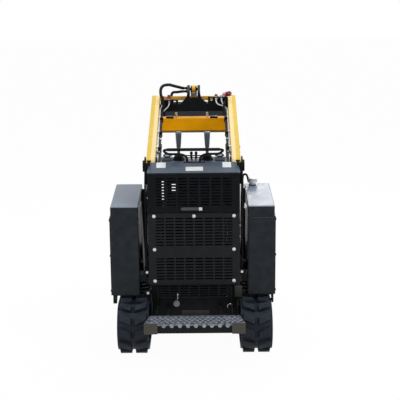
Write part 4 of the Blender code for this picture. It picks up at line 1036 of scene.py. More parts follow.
    def gauges(self) -> None:
        """Make the dials, bezels and toggle switches of both pods."""
        at, out = self.place.at, Vector(self.pod_out)
        gauge_x, gauge_back, gauge_z = self.gauge_spot
        centres = [at(side * gauge_x, gauge_back, gauge_z) for side in SIDES]
        dials = [turned(self.dial_profile, centre, out, 28) for centre in centres]
        bezels = [turned(self.bezel_profile, centre, out, 28, ring=True) for centre in centres]
        switches = [turned(self.switch_profile, at(side * x, *self.switch_spot), out, 12)
                    for side in SIDES for x in self.switch_x]
        finish_piece(dials, "gauge_dials", Finish.GAUGE_GLASS, Body.CHASSIS)
        finish_piece(bezels, "gauge_bezels", Finish.BOOT_RUBBER, Body.CHASSIS)
        finish_piece(switches, "toggle_switches", Finish.ZINC_PLATE, Body.CHASSIS)

    def build(self) -> None:
        """Make what dresses the controls."""
        self.levers()
        self.middle()
        self.gauges()


@dataclass
class LineShelves:
    """Couplers with their dust caps on both line shelves, and the nuts under them."""

    place: Place
    uprights: tuple[Point, ...] = ((-0.228, 1.040, 1.536), (-0.181, 1.040, 1.536), (0.165, 1.040, 1.556),
                                   (0.205, 1.040, 1.556))
    # Foot, direction and scale of the two large couplers at the right end
    large: tuple[tuple[Point, Point, float], ...] = (
        ((0.236, 1.048, 1.556), (0.35, -0.45, 0.82), 1.3), ((0.256, 1.036, 1.572), (0.28, -0.82, 0.50), 1.5))
    # Foot, direction, radius and height of each cap
    red_caps: tuple[tuple[Point, Point, float, float], ...] = (
        ((-0.228, 1.040, 1.543), (0, 0, 1), 0.0125, 0.021), ((-0.181, 1.040, 1.545), (0, 0, 1), 0.0135, 0.028),
        ((0.165, 1.040, 1.563), (0, 0, 1), 0.0115, 0.013),
        ((0.240, 1.042, 1.572), (0.30, -0.60, 0.74), 0.0140, 0.020),
        ((0.259, 1.022, 1.578), (0.28, -0.82, 0.50), 0.0175, 0.020))
    # Cap painted pink as a highlight on its red plastic
    pink_highlight_cap: tuple[Point, Point, float, float] = ((0.222, 1.034, 1.570), (0.15, -0.60, 0.78), 0.0115, 0.018)
    # Outline of a cap as shares of its radius and its height
    cap_shares: Profile = ((1.0, 0.0), (1.08, 0.10), (1.08, 0.22), (0.94, 0.30), (0.90, 0.80), (0.70, 0.96),
                           (0.0, 1.0))
    hexagon_radius: float = 0.0118
    hexagon_height: float = 0.007
    body_radius: float = 0.0085
    body_height: float = 0.014
    nut_profile: Profile = ((0.0098, -0.0205), (0.0098, -0.0065))

    def coupler(self, foot: Point, direction: Point = (0, 0, 1), scale: float = 1.0) -> Object:
        """Hexagon base with its round body.

        Args:
            foot: foot of the coupler.
            direction: way that it points.
            scale: size against the upright couplers.

        Returns:
            The coupler.
        """
        spot, axis = self.place.at(*foot), Vector(direction).normalized()
        hexagon, round_body = self.hexagon_radius * scale, self.body_radius * scale
        return joined([turned([(hexagon, -SINK), (hexagon, self.hexagon_height * scale)], spot, axis, 6),
                       turned([(round_body, 0.0), (round_body, self.body_height * scale)], spot, axis, 16)])

    def cap(self, foot: Point, direction: Point, radius: float, height: float) -> Object:
        """Soft cap with a rounded top and a rolled rim.

        Args:
            foot: middle of the cap's open end.
            direction: way that its top points.
            radius: radius above the rim.
            height: height of the cap.

        Returns:
            The cap.
        """
        profile = [(radius * across, height * up) for across, up in self.cap_shares]
        return turned(profile, self.place.at(*foot), Vector(direction).normalized())

    def build(self) -> None:
        """Make couplers, nuts and caps."""
        metal = [self.coupler(foot) for foot in self.uprights] + [self.coupler(*row) for row in self.large]
        metal += [turned(self.nut_profile, self.place.at(*foot), steps=6) for foot in self.uprights]
        finish_piece(metal, "line_couplers", Finish.ZINC_PLATE, Body.ARMS)
        finish_piece([self.cap(*row) for row in self.red_caps], "dust_caps", Finish.RED_CAP, Body.ARMS)
        finish_piece(self.cap(*self.pink_highlight_cap), "pink_highlight_dust_cap", Finish.PINK_HIGHLIGHT_CAP, Body.ARMS)


@dataclass
class ArmFittings:
    """Clamps and ends of the arms' lines, the cross tube's fittings, and the hoses round the pivot."""

    place: Place
    rise_deg: float = 16.2
    pivot: Span = (0.150, 1.215)
    clamp_places: tuple[float, ...] = (0.230, 0.470, 0.710)
    # Near and far from the middle, half length along the arm, low and high across it
    clamp_blocks: tuple[tuple[float, float, float, float, float], ...] = (
        (0.2205, 0.2518, 0.010, -0.016, 0.026), (0.2185, 0.2210, 0.008, -0.012, 0.022))
    feet_x: tuple[Span, ...] = ((-0.206, -0.151), (0.121, 0.177))
    feet_back: Span = (1.112, 1.180)
    feet_z: Span = (1.3858, 1.3990)
    lip: Box = ((-0.2515, 0.2515), (1.1060, 1.1150), (1.2800, 1.2965))
    post_x: tuple[float, ...] = (-0.132, 0.0995)
    post_back: float = 1.170
    post_z: Span = (1.385, 1.423)
    post_radius: float = 0.0085
    post_chamfer: float = 0.0015
    hose_x: float = 0.2303
    hose_up: float = 0.006
    end_places: tuple[float, ...] = (0.180, 0.380)
    end_profile: Profile = ((0.0098, -0.010), (0.0098, 0.010))
    ferrule_x: float = -0.0485
    ferrule_spots: tuple[Span, ...] = ((1.164, 1.606), (1.140, 1.585))
    ferrule_profile: Profile = ((0.0115, 0.0), (0.0115, 0.010), (0.0095, 0.012), (0.0095, 0.026))
    jump_x: float = 0.2256
    jump_radius: float = 0.0104
    jump_places: tuple[float, ...] = (0.300, 0.190, 0.130, 0.060, 0.0)
    bend_from: float = 0.19
    swivel_profile: Profile = ((0.0150, -0.0095), (0.0150, 0.0080))
    fall_x: float = 0.2262
    fall_radius: float = 0.0080
    fall_route: tuple[Span, ...] = ((0.150, 1.203), (0.160, 1.120), (0.190, 1.000), (0.200, 0.850))

    def arm_point(self, along: float, up: float) -> Span:
        """Layout Y and Z of a point from the pivot along the arm and square to it."""
        c, s = cos(radians(self.rise_deg)), sin(radians(self.rise_deg))
        return self.pivot[0] + along * c - up * s, self.pivot[1] + along * s + up * c

    def clamp(self, side: int, along: float) -> list[Object]:
        """Moulded block round the lines, with the plate of its screws.

        Args:
            side: -1 left, 1 right.
            along: distance from the pivot.

        Returns:
            The block and its plate.
        """
        made = []
        turn = Matrix.Rotation(radians(self.rise_deg), 4, "X")
        spot = self.place.at(0.0, *self.arm_point(along, 0.0))
        for near, far, half, low, high in self.clamp_blocks:
            x0, x1 = span(side, near, far)
            block = eased_block((x0, -half, low), (x1, half, high), MOULDED_EDGE)
            made.append(copied(block, Matrix.Translation(spot) @ turn))
            bpy.data.objects.remove(block)
        return made

    def hose_ends(self) -> None:
        """Make the zinc ends of the arms' hoses and the dark ferrules at the bracket's ear."""
        at = self.place.at
        along_arm = Vector((0, cos(radians(self.rise_deg)), sin(radians(self.rise_deg))))
        ferrules = [turned(self.ferrule_profile, at(self.ferrule_x, *spot), Vector((-1, 0, 0)), 6)
                    for spot in self.ferrule_spots]
        ends = [turned(self.end_profile, at(side * self.hose_x, *self.arm_point(along, self.hose_up)),
                       along_arm, 6) for side in SIDES for along in self.end_places]
        finish_piece(ends, "hose_ends", Finish.ZINC_PLATE, Body.ARMS)
        finish_piece(ferrules, "hose_ferrules", Finish.BOOT_RUBBER, Body.ARMS)

    def jump_hoses(self) -> None:
        """Make the hose from each arm to its swivel, and the one from the swivel down the tower."""
        at = self.place.at
        jumps, falls = [], []
        for side in SIDES:
            x = side * self.jump_x
            route = [at(x, *self.arm_point(along, self.hose_up * min(along / self.bend_from, 1.0)))
                     for along in self.jump_places]
            jumps += [swept(route, self.jump_radius),
                      turned(self.swivel_profile, at(x, *self.pivot), Vector((side, 0, 0)), 20)]
            falls.append(swept([at(side * self.fall_x, *spot) for spot in self.fall_route], self.fall_radius))
        finish_piece(jumps, "arm_jump_hoses", Finish.HOSE_COVER, Body.ARMS)
        finish_piece(falls, "body_jump_hoses", Finish.HOSE_COVER, Body.CHASSIS)

    def build(self) -> None:
        """Make the clamps, the cross tube's fittings and the hoses."""
        place = self.place
        blocks = [piece for side in SIDES for along in self.clamp_places for piece in self.clamp(side, along)]
        finish_piece(blocks, "line_clamps", Finish.BOOT_RUBBER, Body.ARMS)
        feet = [place.block(x, self.feet_back, self.feet_z, MOULDED_EDGE) for x in self.feet_x]
        finish_piece(feet, "cross_tube_feet", Finish.SATIN_POWDER_COAT, Body.ARMS)
        finish_piece(place.block(*self.lip, MOULDED_EDGE), "cross_tube_lip", Finish.BROWN_PRIMER, Body.ARMS)
        self.hose_ends()
        low, high = self.post_z
        posts = [round_bar(place.at(x, self.post_back, low), place.at(x, self.post_back, high),
                           self.post_radius, 16, self.post_chamfer) for x in self.post_x]
        # The posts' white is a painted reflection on their zinc
        finish_piece(posts, "cross_tube_posts", Finish.WHITE_NYLON, Body.ARMS)
        self.jump_hoses()


@dataclass
class HoseSleeve:
    """Wraps over the hoses that loop from the left arm and the upper bar to the tilt bracket."""

    place: Place
    base: Span = (1.170, 1.598)
    long_radius: float = 0.0112
    short_radius: float = 0.0100
    # Both routes are measured from the tilt cylinder's base pin
    long_route: tuple[Point, ...] = (
        (-0.2205, -0.181, -0.105), (-0.226, -0.186, -0.058), (-0.240, -0.178, -0.008), (-0.232, -0.160, 0.034),
        (-0.192, -0.120, 0.047), (-0.142, -0.070, 0.032), (-0.095, -0.022, 0.014), (-0.076, -0.007, 0.008))
    short_route: tuple[Point, ...] = (
        (-0.165, -0.030, -0.040), (-0.156, -0.030, -0.022), (-0.125, -0.030, -0.018), (-0.090, -0.030, -0.014),
        (-0.076, -0.030, -0.0130))

    def build(self) -> None:
        """Sweep each wrap along its hose's route."""
        back, z = self.base
        for name, route, radius in (("hose_sleeve", self.long_route, self.long_radius),
                                    ("short_hose_sleeve", self.short_route, self.short_radius)):
            wrap = self.place.hose(tuple((x, back + dy, z + dz) for x, dy, dz in route), radius)
            finish_piece(wrap, name, Finish.HOSE_COVER, Body.ARMS)


@dataclass
class Pins:
    """Pin heads with centre bolts and grease nipples, and the yellow boss of the tilt cylinder's eye."""

    place: Place
    # Name, body, radius of the head, and the place of each pin's end on the right
    groups: tuple[tuple[str, Body, float, tuple[Point, ...]], ...] = (
        ("pivot_pin_heads", Body.CHASSIS, 0.027, ((0.321, 0.190, 0.605),)),
        ("rod_pin_heads", Body.ARMS, 0.020, ((0.308, 0.4947, 1.2758), (0.308, 1.720, 1.295))),
    )
    # Radii of the disc and its bolt are shares of the head's radius
    disc: Profile = ((1.0, -SINK), (1.0, 0.004), (0.92, 0.006))
    bolt: Profile = ((0.42, 0.005), (0.42, 0.010), (0.36, 0.0115))
    nipple: Profile = ((0.0026, 0.005), (0.0026, 0.009), (0.0014, 0.011), (0.0, 0.012))
    nipple_share: float = 0.66
    tilt_pin: Point = (0.0, 1.170, 1.598)
    boss_profile: Profile = ((0.0150, -0.0145), (0.0270, -0.0130), (0.0285, 0.0), (0.0270, 0.0130),
                             (0.0150, 0.0145))

    def head(self, radius: float) -> Object:
        """Round pin head with a centre bolt and a nipple, at the origin along +Z.

        Args:
            radius: radius of the head.

        Returns:
            The head.
        """
        disc, bolt = (turned([(radius * share, z) for share, z in shares], steps=steps)
                      for shares, steps in ((self.disc, 28), (self.bolt, 6)))
        nipple = turned(self.nipple, (radius * self.nipple_share, 0.0, 0.0), steps=8)
        return joined([disc, bolt, nipple])

    def build(self) -> None:
        """Make the heads on each body, and the boss."""
        at = self.place.at
        for name, body, radius, spots in self.groups:
            ends = [(at(side * x, back, z), (side, 0, 0)) for side in SIDES for x, back, z in spots]
            finish_piece(set_out(self.head(radius), ends), name, Finish.SATIN_POWDER_COAT, body)
        boss = turned(self.boss_profile, at(*self.tilt_pin), Vector((1, 0, 0)), 28, ring=True)
        finish_piece(boss, "tilt_eye_boss", Finish.BAR_ENAMEL, Body.TILT_BARREL)


@dataclass(frozen=True)
class Barrel:
    """One cylinder's barrel: its base pin, its direction, its size and the side its ports look to."""

    name: str
    body: Body
    base: Point
    axis: Point
    out: Point
    length: float
    radius: float


@dataclass
class Cylinders:
    """Gland nuts and oil ports on the three cylinders."""

    place: Place
    lift_base: Point = (0.280, 0.190, 0.605)
    lift_axis: Point = (0.0, 0.41356, 0.910477)
    lift_out: Point = (0.0, 0.910477, -0.41356)
    lift_size: Span = (0.440, 0.027)
    tilt_base: Point = (0.0, 1.170, 1.598)
    tilt_axis: Point = (0.0, 0.912948, -0.408076)
    tilt_out: Point = (0.0, 0.408076, 0.912948)
    tilt_size: Span = (0.300, 0.024)
    nut_bore: float = 0.6
    nut_proud: float = 0.0022
    nut_height: float = 0.022
    port_from_pin: float = 0.060
    port_from_end: float = 0.045
    port_sink: float = 0.002
    port_boss: Profile = ((0.0110, 0.0), (0.0100, 0.008))
    port_nut: Profile = ((0.0078, 0.006), (0.0078, 0.016))

    def dress(self, barrel: Barrel) -> None:
        """Add a gland nut and two ports to one barrel.

        Args:
            barrel: the barrel to dress.
        """
        start, axis, out = Vector(self.place.at(*barrel.base)), Vector(barrel.axis), Vector(barrel.out)
        bore, rim = barrel.radius * self.nut_bore, barrel.radius + self.nut_proud
        nut = ((bore, -self.nut_height), (rim, -self.nut_height), (rim, -0.002), (barrel.radius + 0.0005, 0.001),
               (bore, 0.001))
        made = [turned(nut, tuple(start + axis * barrel.length), axis, 12, ring=True)]
        for along in (self.port_from_pin, barrel.length - self.port_from_end):
            spot = tuple(start + axis * along + out * (barrel.radius - self.port_sink))
            made += [turned(self.port_boss, spot, out, 16), turned(self.port_nut, spot, out, 6)]
        finish_piece(made, barrel.name, Finish.ZINC_PLATE, barrel.body)

    def build(self) -> None:
        """Dress the lift and tilt cylinders."""
        x, back, z = self.lift_base
        for side, name, body in zip(SIDES, ("lift_gland_left", "lift_gland_right"),
                                    (Body.LIFT_BARREL_LEFT, Body.LIFT_BARREL_RIGHT)):
            self.dress(Barrel(name, body, (side * x, back, z), self.lift_axis, self.lift_out, *self.lift_size))
        self.dress(Barrel("tilt_gland", Body.TILT_BARREL, self.tilt_base, self.tilt_axis, self.tilt_out,
                          *self.tilt_size))


@dataclass
class AirBox:
    """Left side cover with its tall outlet, and the foam strips that close the panels' edges."""

    place: Place
    inner: float = 0.207
    outer: float = 0.215
    cut_x: Span = (-0.230, -0.190)
    cover_outline: tuple[Span, ...] = ((0.0223, 0.4403), (0.7895, 0.4403), (0.7895, 1.0200), (0.330, 1.1000),
                                       (0.150, 1.1800), (0.0223, 1.1800))
    outlet_outline: tuple[Span, ...] = ((0.045, 1.006), (0.620, 0.880), (0.620, 1.026), (0.045, 1.142))
    slots: int = 5
    slot_back: Span = (0.52, 0.70)
    slot_z: float = 0.660
    slot_height: float = 0.012
    slot_pitch: float = 0.035
    strip_x: Span = (0.2155, 0.2320)
    strip_back: Span = (0.0226, 0.0340)
    strip_z: Span = (0.470, 1.160)

    def prism(self, outline: tuple[Span, ...], x: Span) -> Object:
        """Plate across X extruded in edit mode from an outline of layout Y and Z.

        Args:
            outline: points round the plate.
            x: its two sides.

        Returns:
            The new object.
        """
        deselect_all()
        mesh = bpy.data.meshes.new("outline")
        mesh.from_pydata([self.place.at(x[0], y, z) for y, z in outline], [], [tuple(range(len(outline)))])
        made = bpy.data.objects.new("outline", mesh)
        bpy.context.scene.collection.objects.link(made)
        edit_all(made)
        bpy.ops.mesh.extrude_region_move(TRANSFORM_OT_translate={"value": (x[1] - x[0], 0, 0)})
        bpy.ops.mesh.select_all(action="SELECT")
        bpy.ops.mesh.normals_make_consistent(inside=False)
        leave_edit()
        return made

    def cutters(self) -> list[Object]:
        """Shapes of the outlet and of the slots ahead of it.

        Returns:
            The shapes, to be cut from the cover.
        """
        made = [self.prism(self.outlet_outline, self.cut_x)]
        rear, front = self.slot_back
        for i in range(self.slots):
            low = self.slot_z + self.slot_pitch * i
            high = low + self.slot_height
            made.append(self.prism(((rear, low), (front, low), (front, high), (rear, high)), self.cut_x))
        return made

    def build(self) -> None:
        """Make the cover and the strips."""
        cover = self.prism(self.cover_outline, (-self.outer, -self.inner))
        for cutter in self.cutters():
            deselect_all()
            cover.select_set(True)
            bpy.context.view_layer.objects.active = cover
            cut = cover.modifiers.new("cut", "BOOLEAN")
            cut.operation, cut.solver, cut.object = "DIFFERENCE", "EXACT", cutter
            bpy.ops.object.modifier_apply(modifier=cut.name)
            bpy.data.objects.remove(cutter)
        finish_piece(cover, "left_side_cover", Finish.GLOSS_POWDER_COAT, Body.CHASSIS, smooth=False)
        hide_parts("side_cover_left")
        strips = [self.place.block(span(side, *self.strip_x), self.strip_back, self.strip_z, CUT_EDGE)
                  for side in SIDES]
        finish_piece(strips, "foam_strips", Finish.FOAM, Body.CHASSIS)


@dataclass
class TankTrim:
    """Filler cap's crown and grip, breather hose, grey conduit, straps, side union and frame studs."""

    place: Place
    cap_x: float = 0.404
    cap_back: float = 0.497
    crown_z: float = 1.0500
    crown_profile: Profile = ((0.0350, -0.002), (0.0365, 0.003), (0.0350, 0.008), (0.0240, 0.012), (0.0, 0.0135))
    grip_ribs: int = 20
    grip_radii: Span = (0.0325, 0.0275)
    grip_z: Span = (1.0292, 1.0545)
    grip_rib_radius: float = 0.0020
    breather_radius: float = 0.0072
    breather_route: tuple[Point, ...] = (
        (0.3380, 0.500, 0.900), (0.3380, 0.500, 1.000), (0.3370, 0.495, 1.055), (0.344, 0.488, 1.082),
        (0.358, 0.482, 1.086), (0.370, 0.482, 1.066), (0.375, 0.484, 1.044), (0.384, 0.490, 1.034))
    conduit_radius: float = 0.0068
    conduit_route: tuple[Point, ...] = (
        (-0.346, 0.075, 0.985), (-0.3450, 0.034, 0.972), (-0.3435, 0.030, 0.930), (-0.3370, 0.030, 0.800),
        (-0.3325, 0.032, 0.700), (-0.3300, 0.034, 0.600), (-0.3295, 0.060, 0.530))
    strap_x: Span = (0.286, 0.334)
    strap_back: Span = (-0.002, 0.006)
    strap_rows: tuple[Span, ...] = ((0.374, 0.412), (0.520, 0.548))
    strap_bolts: tuple[Span, ...] = ((-0.308, 0.391), (-0.311, 0.534), (0.311, 0.534))
    strap_bolt_profile: Profile = ((0.0098, -SINK), (0.0098, 0.0016), (0.0078, 0.0018), (0.0078, 0.0065),
                                   (0.0066, 0.0078))
    union_spot: Point = (0.3350, 0.034, 0.963)
    union_tail: Point = (0.3350, 0.110, 0.963)
    tail_radius: float = 0.0060
    union_profile: Profile = ((0.0095, -0.004), (0.0115, 0.0), (0.0115, 0.005), (0.0085, 0.010), (0.0, 0.0125))
    stud_back: float = 0.0005
    stud_spots: tuple[Span, ...] = ((0.2975, 0.850), (0.2975, 0.775), (0.2975, 1.035), (-0.2975, 1.035))
    stud_profile: Profile = ((0.0048, -SINK), (0.0048, 0.010), (0.0036, 0.0115))

    def filler(self) -> None:
        """Make the filler cap's crown and grip, and the breather hose beside it."""
        at = self.place.at
        breather = self.place.hose(self.breather_route, self.breather_radius)
        crown = turned(self.crown_profile, at(self.cap_x, self.cap_back, self.crown_z), steps=28)
        finish_piece(crown, "tank_cap_crown", Finish.BRIGHT_ZINC, Body.CHASSIS)
        finish_piece(breather, "breather_hose", Finish.HOSE_COVER, Body.CHASSIS)
        ribs = []
        for i in range(self.grip_ribs):
            angle = 2 * pi * i / self.grip_ribs
            foot, top = (at(self.cap_x + radius * cos(angle), self.cap_back + radius * sin(angle), z)
                         for radius, z in zip(self.grip_radii, self.grip_z))
            ribs.append(round_bar(foot, top, self.grip_rib_radius, 6))
        finish_piece(ribs, "tank_cap_grip", Finish.ZINC_PLATE, Body.CHASSIS)

    def straps(self) -> None:
        """Make the straps between the tanks and the body, with their bolts."""
        straps = [self.place.block(span(side, *self.strap_x), self.strap_back, z, CUT_EDGE)
                  for side in SIDES for z in self.strap_rows]
        finish_piece(straps, "tank_straps", Finish.SATIN_POWDER_COAT, Body.CHASSIS)
        bolts = [(self.place.at(x, self.strap_back[0], z), REARWARD) for x, z in self.strap_bolts]
        head = turned(self.strap_bolt_profile, steps=6)
        finish_piece(set_out(head, bolts), "strap_bolts", Finish.BRIGHT_ZINC, Body.CHASSIS)

    def build(self) -> None:
        """Make the trim."""
        at = self.place.at
        self.filler()
        conduit = self.place.hose(self.conduit_route, self.conduit_radius)
        finish_piece(conduit, "grey_conduit", Finish.CONDUIT, Body.CHASSIS)
        self.straps()
        union = turned(self.union_profile, at(*self.union_spot), Vector(REARWARD), 18)
        tail = round_bar(at(*self.union_spot), at(*self.union_tail), self.tail_radius, 14, THIN_EDGE)
        finish_piece([union, tail], "side_union", Finish.BRIGHT_ZINC, Body.CHASSIS)
        studs = [(at(x, self.stud_back, z), REARWARD) for x, z in self.stud_spots]
        finish_piece(set_out(turned(self.stud_profile, steps=12), studs), "frame_studs", Finish.ZINC_PLATE,
                     Body.CHASSIS)


@dataclass
class Step:
    """Tread pattern, hanging tabs, side arms and small fittings of the operator step."""

    place: Place
    pitch_x: float = 0.034
    pitch_y: float = 0.029
    first_row: float = 0.022
    rows: int = 4
    rear_half: float = 0.300
    narrowing: float = 0.032
    depth: float = 0.150
    dimple_radius: float = 0.0095
    dimple_height: float = 0.0040
    tab_x: tuple[float, ...] = (-0.195, -0.144, -0.0925, -0.0415, 0.0075, 0.0590, 0.1080, 0.1585, 0.2075)
    tab_z: float = 0.2895
    tab_profile: Profile = ((0.0125, 0.0), (0.0135, 0.0015), (0.0135, 0.0045))
    arm_x: Span = (0.237, 0.247)
    # The level and the upright bar of each side arm, as spans of layout Y and of Z
    arm_bars: tuple[tuple[Span, Span], ...] = (((-0.206, 0.028), (0.262, 0.318)),
                                               ((-0.022, 0.020), (0.300, 0.436)))
    linch_pin_radius: float = 0.0022
    linch_pin_route: tuple[Point, ...] = (
        (0.246, -0.060, 0.322), (0.236, -0.072, 0.336), (0.222, -0.076, 0.334), (0.212, -0.074, 0.322),
        (0.218, -0.070, 0.312))
    bracket: Box = ((0.262, 0.312), (-0.004, 0.004), (0.360, 0.440))
    drain_stem: tuple[Point, Point] = ((-0.114, 0.010, 0.345), (-0.112, 0.010, 0.382))
    drain_radius: float = 0.0045
    back_plate: Box = ((-0.082, 0.093), (-0.2050, -0.2028), (0.3058, 0.3400))

    def dimples(self) -> None:
        """Press the pattern's round dimples onto the step's top."""
        low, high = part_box("operator_step")
        r = self.dimple_radius
        profile = [(r, -SINK), (r, 0.0006), (r * 0.72, self.dimple_height), (r * 0.45, self.dimple_height),
                   (r * 0.40, 0.001)]
        first = turned(profile, (0.0, low.y + self.first_row, high.z), steps=10)
        made = [first]
        for row in range(self.rows):
            half = self.rear_half - self.narrowing * (row * self.pitch_y + self.first_row) / self.depth
            shift = 0.5 * self.pitch_x if row % 2 else 0.0
            count = int(half / self.pitch_x)
            for i in range(-count, count + 1):
                x = i * self.pitch_x + shift
                if abs(x) <= half and (row or i):
                    made.append(copied(first, Matrix.Translation((x, row * self.pitch_y, 0))))
        finish_piece(made, "tread_dimples", Finish.RUBBED_TREAD, Body.CHASSIS)

    def build(self) -> None:
        """Make the step's parts."""
        place = self.place
        self.dimples()
        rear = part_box("operator_step")[0].y - 0.0008
        tabs = [turned(self.tab_profile, (x, rear, self.tab_z), Vector(FORWARD), 20) for x in self.tab_x]
        finish_piece(tabs, "tread_tabs", Finish.RUBBED_TREAD, Body.CHASSIS)
        arms = [place.block(span(side, *self.arm_x), back, z, CUT_EDGE)
                for side in SIDES for back, z in self.arm_bars]
        finish_piece(arms, "step_arms", Finish.SATIN_POWDER_COAT, Body.CHASSIS)
        pin = place.hose(self.linch_pin_route, self.linch_pin_radius)
        finish_piece(pin, "step_linch_pin", Finish.ZINC_PLATE, Body.CHASSIS)
        finish_piece(place.block(*self.bracket, MOULDED_EDGE), "bent_bracket", Finish.GREY_BRACKET, Body.CHASSIS)
        low, high = (place.at(*end) for end in self.drain_stem)
        finish_piece(round_bar(low, high, self.drain_radius, 12, THIN_EDGE), "drain_stem", Finish.ZINC_PLATE,
                     Body.CHASSIS)
        finish_piece(place.block(*self.back_plate, THIN_EDGE), "step_back_plate", Finish.GREY_BRACKET,
                     Body.CHASSIS)


@dataclass
class Undercarriage:
    """Hub caps and ring bolts of the wheels inside the tracks."""

    place: Place
    outer: float = 0.4470
    # Layout Y and Z of each wheel's centre, radius of its ring of bolts and their number
    wheels: tuple[tuple[float, float, float, int], ...] = ((-0.040, 0.181, 0.060, 8), (1.040, 0.165, 0.055, 6))
    cap_profile: Profile = ((0.036, -SINK), (0.036, 0.008), (0.030, 0.014), (0.012, 0.017))
    bolt_profile: Profile = ((0.0085, -SINK), (0.0085, 0.0060), (0.0072, 0.0072))

    def build(self) -> None:
        """Make caps and bolts."""
        at = self.place.at
        hubs, bolts = [], []
        for side in SIDES:
            x, out = side * (self.outer - SINK), (side, 0, 0)
            for back, z, ring, count in self.wheels:
                hubs.append((at(x, back, z), out))
                angles = [2 * pi * i / count for i in range(count)]
                bolts += [(at(x, back + ring * cos(angle), z + ring * sin(angle)), out) for angle in angles]
        finish_piece(set_out(turned(self.cap_profile, steps=28), hubs), "hub_caps", Finish.SATIN_POWDER_COAT,
                     Body.CHASSIS)
        finish_piece(set_out(turned(self.bolt_profile, steps=6), bolts), "wheel_bolts", Finish.ZINC_PLATE,
                     Body.CHASSIS)


@dataclass
class Lamps:
    """Bezels of the work lamps and the hood's handle."""

    place: Place
    lamp_spot: Point = (0.160, 0.8005, 0.855)
    bezel_profile: Profile = ((0.0302, 0.0), (0.0360, 0.0), (0.0350, 0.0300), (0.0302, 0.0320))
    handle_radius: float = 0.0055
    handle_route: tuple[Point, ...] = (
        (-0.060, 0.740, 1.0385), (-0.060, 0.746, 1.062), (-0.050, 0.747, 1.068), (0.050, 0.747, 1.068),
        (0.060, 0.746, 1.062), (0.060, 0.740, 1.0385))

    def build(self) -> None:
        """Make bezels and handle."""
        x, back, z = self.lamp_spot
        bezels = [turned(self.bezel_profile, self.place.at(side * x, back, z), Vector(FORWARD), 28, ring=True)
                  for side in SIDES]
        finish_piece(bezels, "lamp_bezels", Finish.BOOT_RUBBER, Body.CHASSIS)
        handle = self.place.hose(self.handle_route, self.handle_radius)
        finish_piece(handle, "hood_handle", Finish.SATIN_POWDER_COAT, Body.CHASSIS)


# Studio

@dataclass(frozen=True)
class Lamp:
    """Soft rectangular lamp of the studio: place, target, size in metres and power in watts."""

    name: str
    place: Point
    target: Point
    size: tuple[float, float]
    power: float

    def build(self) -> None:
        """Make the lamp."""
        data = bpy.data.lights.new(self.name, "AREA")
        data.shape = "RECTANGLE"
        data.size, data.size_y = self.size
        data.energy = self.power
        lamp = bpy.data.objects.new(self.name, data)
        bpy.context.scene.collection.objects.link(lamp)
        lamp.visible_camera = False
        lamp.location = self.place
        lamp.rotation_euler = (Vector(self.target) - Vector(self.place)).to_track_quat("-Z", "Y").to_euler()


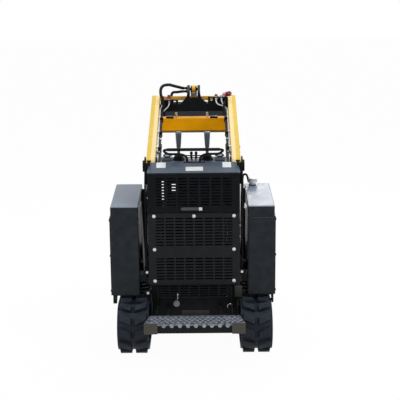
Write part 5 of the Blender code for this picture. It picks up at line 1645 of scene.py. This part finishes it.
@dataclass
class Studio:
    """White sweep, soft lamps and the photograph's camera."""

    place: Place
    camera_x: float = 0.040
    camera_back: float = 6.290
    camera_z: float = 2.470
    pitch_deg: float = 13.0
    roll_deg: float = 0.5
    lens_mm: float = 90.0
    sensor_mm: float = 36.0
    floor_radius: float = 30.0
    floor_drop: float = 0.0005
    floor_colour: str = "F2F2F2"
    floor_glow: float = 0.97
    surround_light: float = 0.58

    @staticmethod
    def seen(tree: NodeTree) -> Socket:
        """Share that is 1 for rays of the camera, of gloss and of glass, and 0 for light.

        Args:
            tree: node tree to build in.

        Returns:
            Socket with the share.
        """
        rays = add_node(tree, "ShaderNodeLightPath").outputs
        gloss = calculated(tree, "MAXIMUM", rays["Is Glossy Ray"], rays["Is Transmission Ray"])
        return calculated(tree, "MAXIMUM", rays["Is Camera Ray"], gloss)

    def floor(self) -> None:
        """Plain pale floor that shows white to the camera and keeps the machine's shadow."""
        deselect_all()
        bpy.ops.mesh.primitive_circle_add(vertices=96, radius=self.floor_radius, fill_type="NGON",
                                        location=(0, 0, -self.floor_drop))
        floor = apply_place(bpy.context.object)
        floor.name = "studio_floor"
        made = bpy.data.materials.new("Matt white studio floor")
        made.use_nodes = True
        tree = made.node_tree
        shader = tree.nodes["Principled BSDF"]
        shader.inputs["Base Color"].default_value = linear(self.floor_colour)
        shader.inputs["Roughness"].default_value = 0.9
        glow = add_node(tree, "ShaderNodeEmission", Color=WHITE, Strength=1.0)
        share = calculated(tree, "MULTIPLY", self.seen(tree), self.floor_glow)
        blend = add_node(tree, "ShaderNodeMixShader", Fac=share)
        tree.links.new(shader.outputs["BSDF"], blend.inputs[1])
        tree.links.new(glow.outputs["Emission"], blend.inputs[2])
        tree.links.new(blend.outputs["Shader"], tree.nodes["Material Output"].inputs["Surface"])
        floor.data.materials.append(made)

    def world(self) -> None:
        """Even pale surround: white where the camera, gloss or glass sees it, softer as a light."""
        world = bpy.data.worlds.new("studio_surround")
        world.use_nodes = True
        tree = world.node_tree
        background = tree.nodes["Background"]
        strength = add_node(tree, "ShaderNodeMapRange", Value=self.seen(tree), To_Min=self.surround_light,
                            To_Max=1.0)
        tree.links.new(strength.outputs["Result"], background.inputs["Strength"])
        background.inputs["Color"].default_value = WHITE
        bpy.context.scene.world = world

    def lamps(self) -> None:
        """Soft key at the right, fill at the left, a wide strip above and a card ahead that lights level tops."""
        middle = (0.0, 0.0, 0.8)
        for lamp in (
            Lamp("key_right", (4.0, -3.2, 4.2), middle, (2.6, 2.6), 100.0),
            Lamp("fill_left", (-4.2, -3.0, 2.6), middle, (2.6, 2.6), 50.0),
            Lamp("top_strip", (0.3, 1.8, 5.2), (0.0, 0.2, 0.8), (4.0, 2.4), 78.0),
            Lamp("rear_card", (1.5, 3.8, 2.9), (0.4, -0.5, 1.0), (2.2, 1.2), 54.0),
        ):
            lamp.build()

    def camera(self) -> None:
        """Camera at the photograph's angle."""
        data = bpy.data.cameras.new("photo_camera")
        data.lens = self.lens_mm
        data.sensor_width = self.sensor_mm
        camera = bpy.data.objects.new("photo_camera", data)
        bpy.context.scene.collection.objects.link(camera)
        camera.location = self.place.at(self.camera_x, -self.camera_back, self.camera_z)
        tilt = Matrix.Rotation(radians(90 - self.pitch_deg), 4, "X")
        roll = Matrix.Rotation(radians(-self.roll_deg), 4, "Z")
        camera.rotation_euler = (tilt @ roll).to_euler()
        bpy.context.scene.camera = camera

    def build(self) -> None:
        """Set the whole studio up."""
        bpy.context.scene.view_settings.view_transform = "Standard"
        self.camera()
        self.world()
        self.lamps()
        self.floor()


def main() -> None:
    """Dress the frame, add the fittings and set up the studio."""
    logging.basicConfig(level=logging.INFO, format="%(message)s")
    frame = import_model()
    deselect_all()
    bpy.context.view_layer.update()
    place = Place.read()
    Studio(place).build()
    dress_nodes(frame["nodes"])
    for assembly in (Fasteners, DeckTrim, DoorTrim, Controls, LineShelves, ArmFittings, HoseSleeve, Pins,
                     Cylinders, AirBox, TankTrim, Step, Undercarriage, Lamps):
        LOG.info("building %s", assembly.__name__)
        assembly(place).build()


if __name__ == "__main__":
    main()
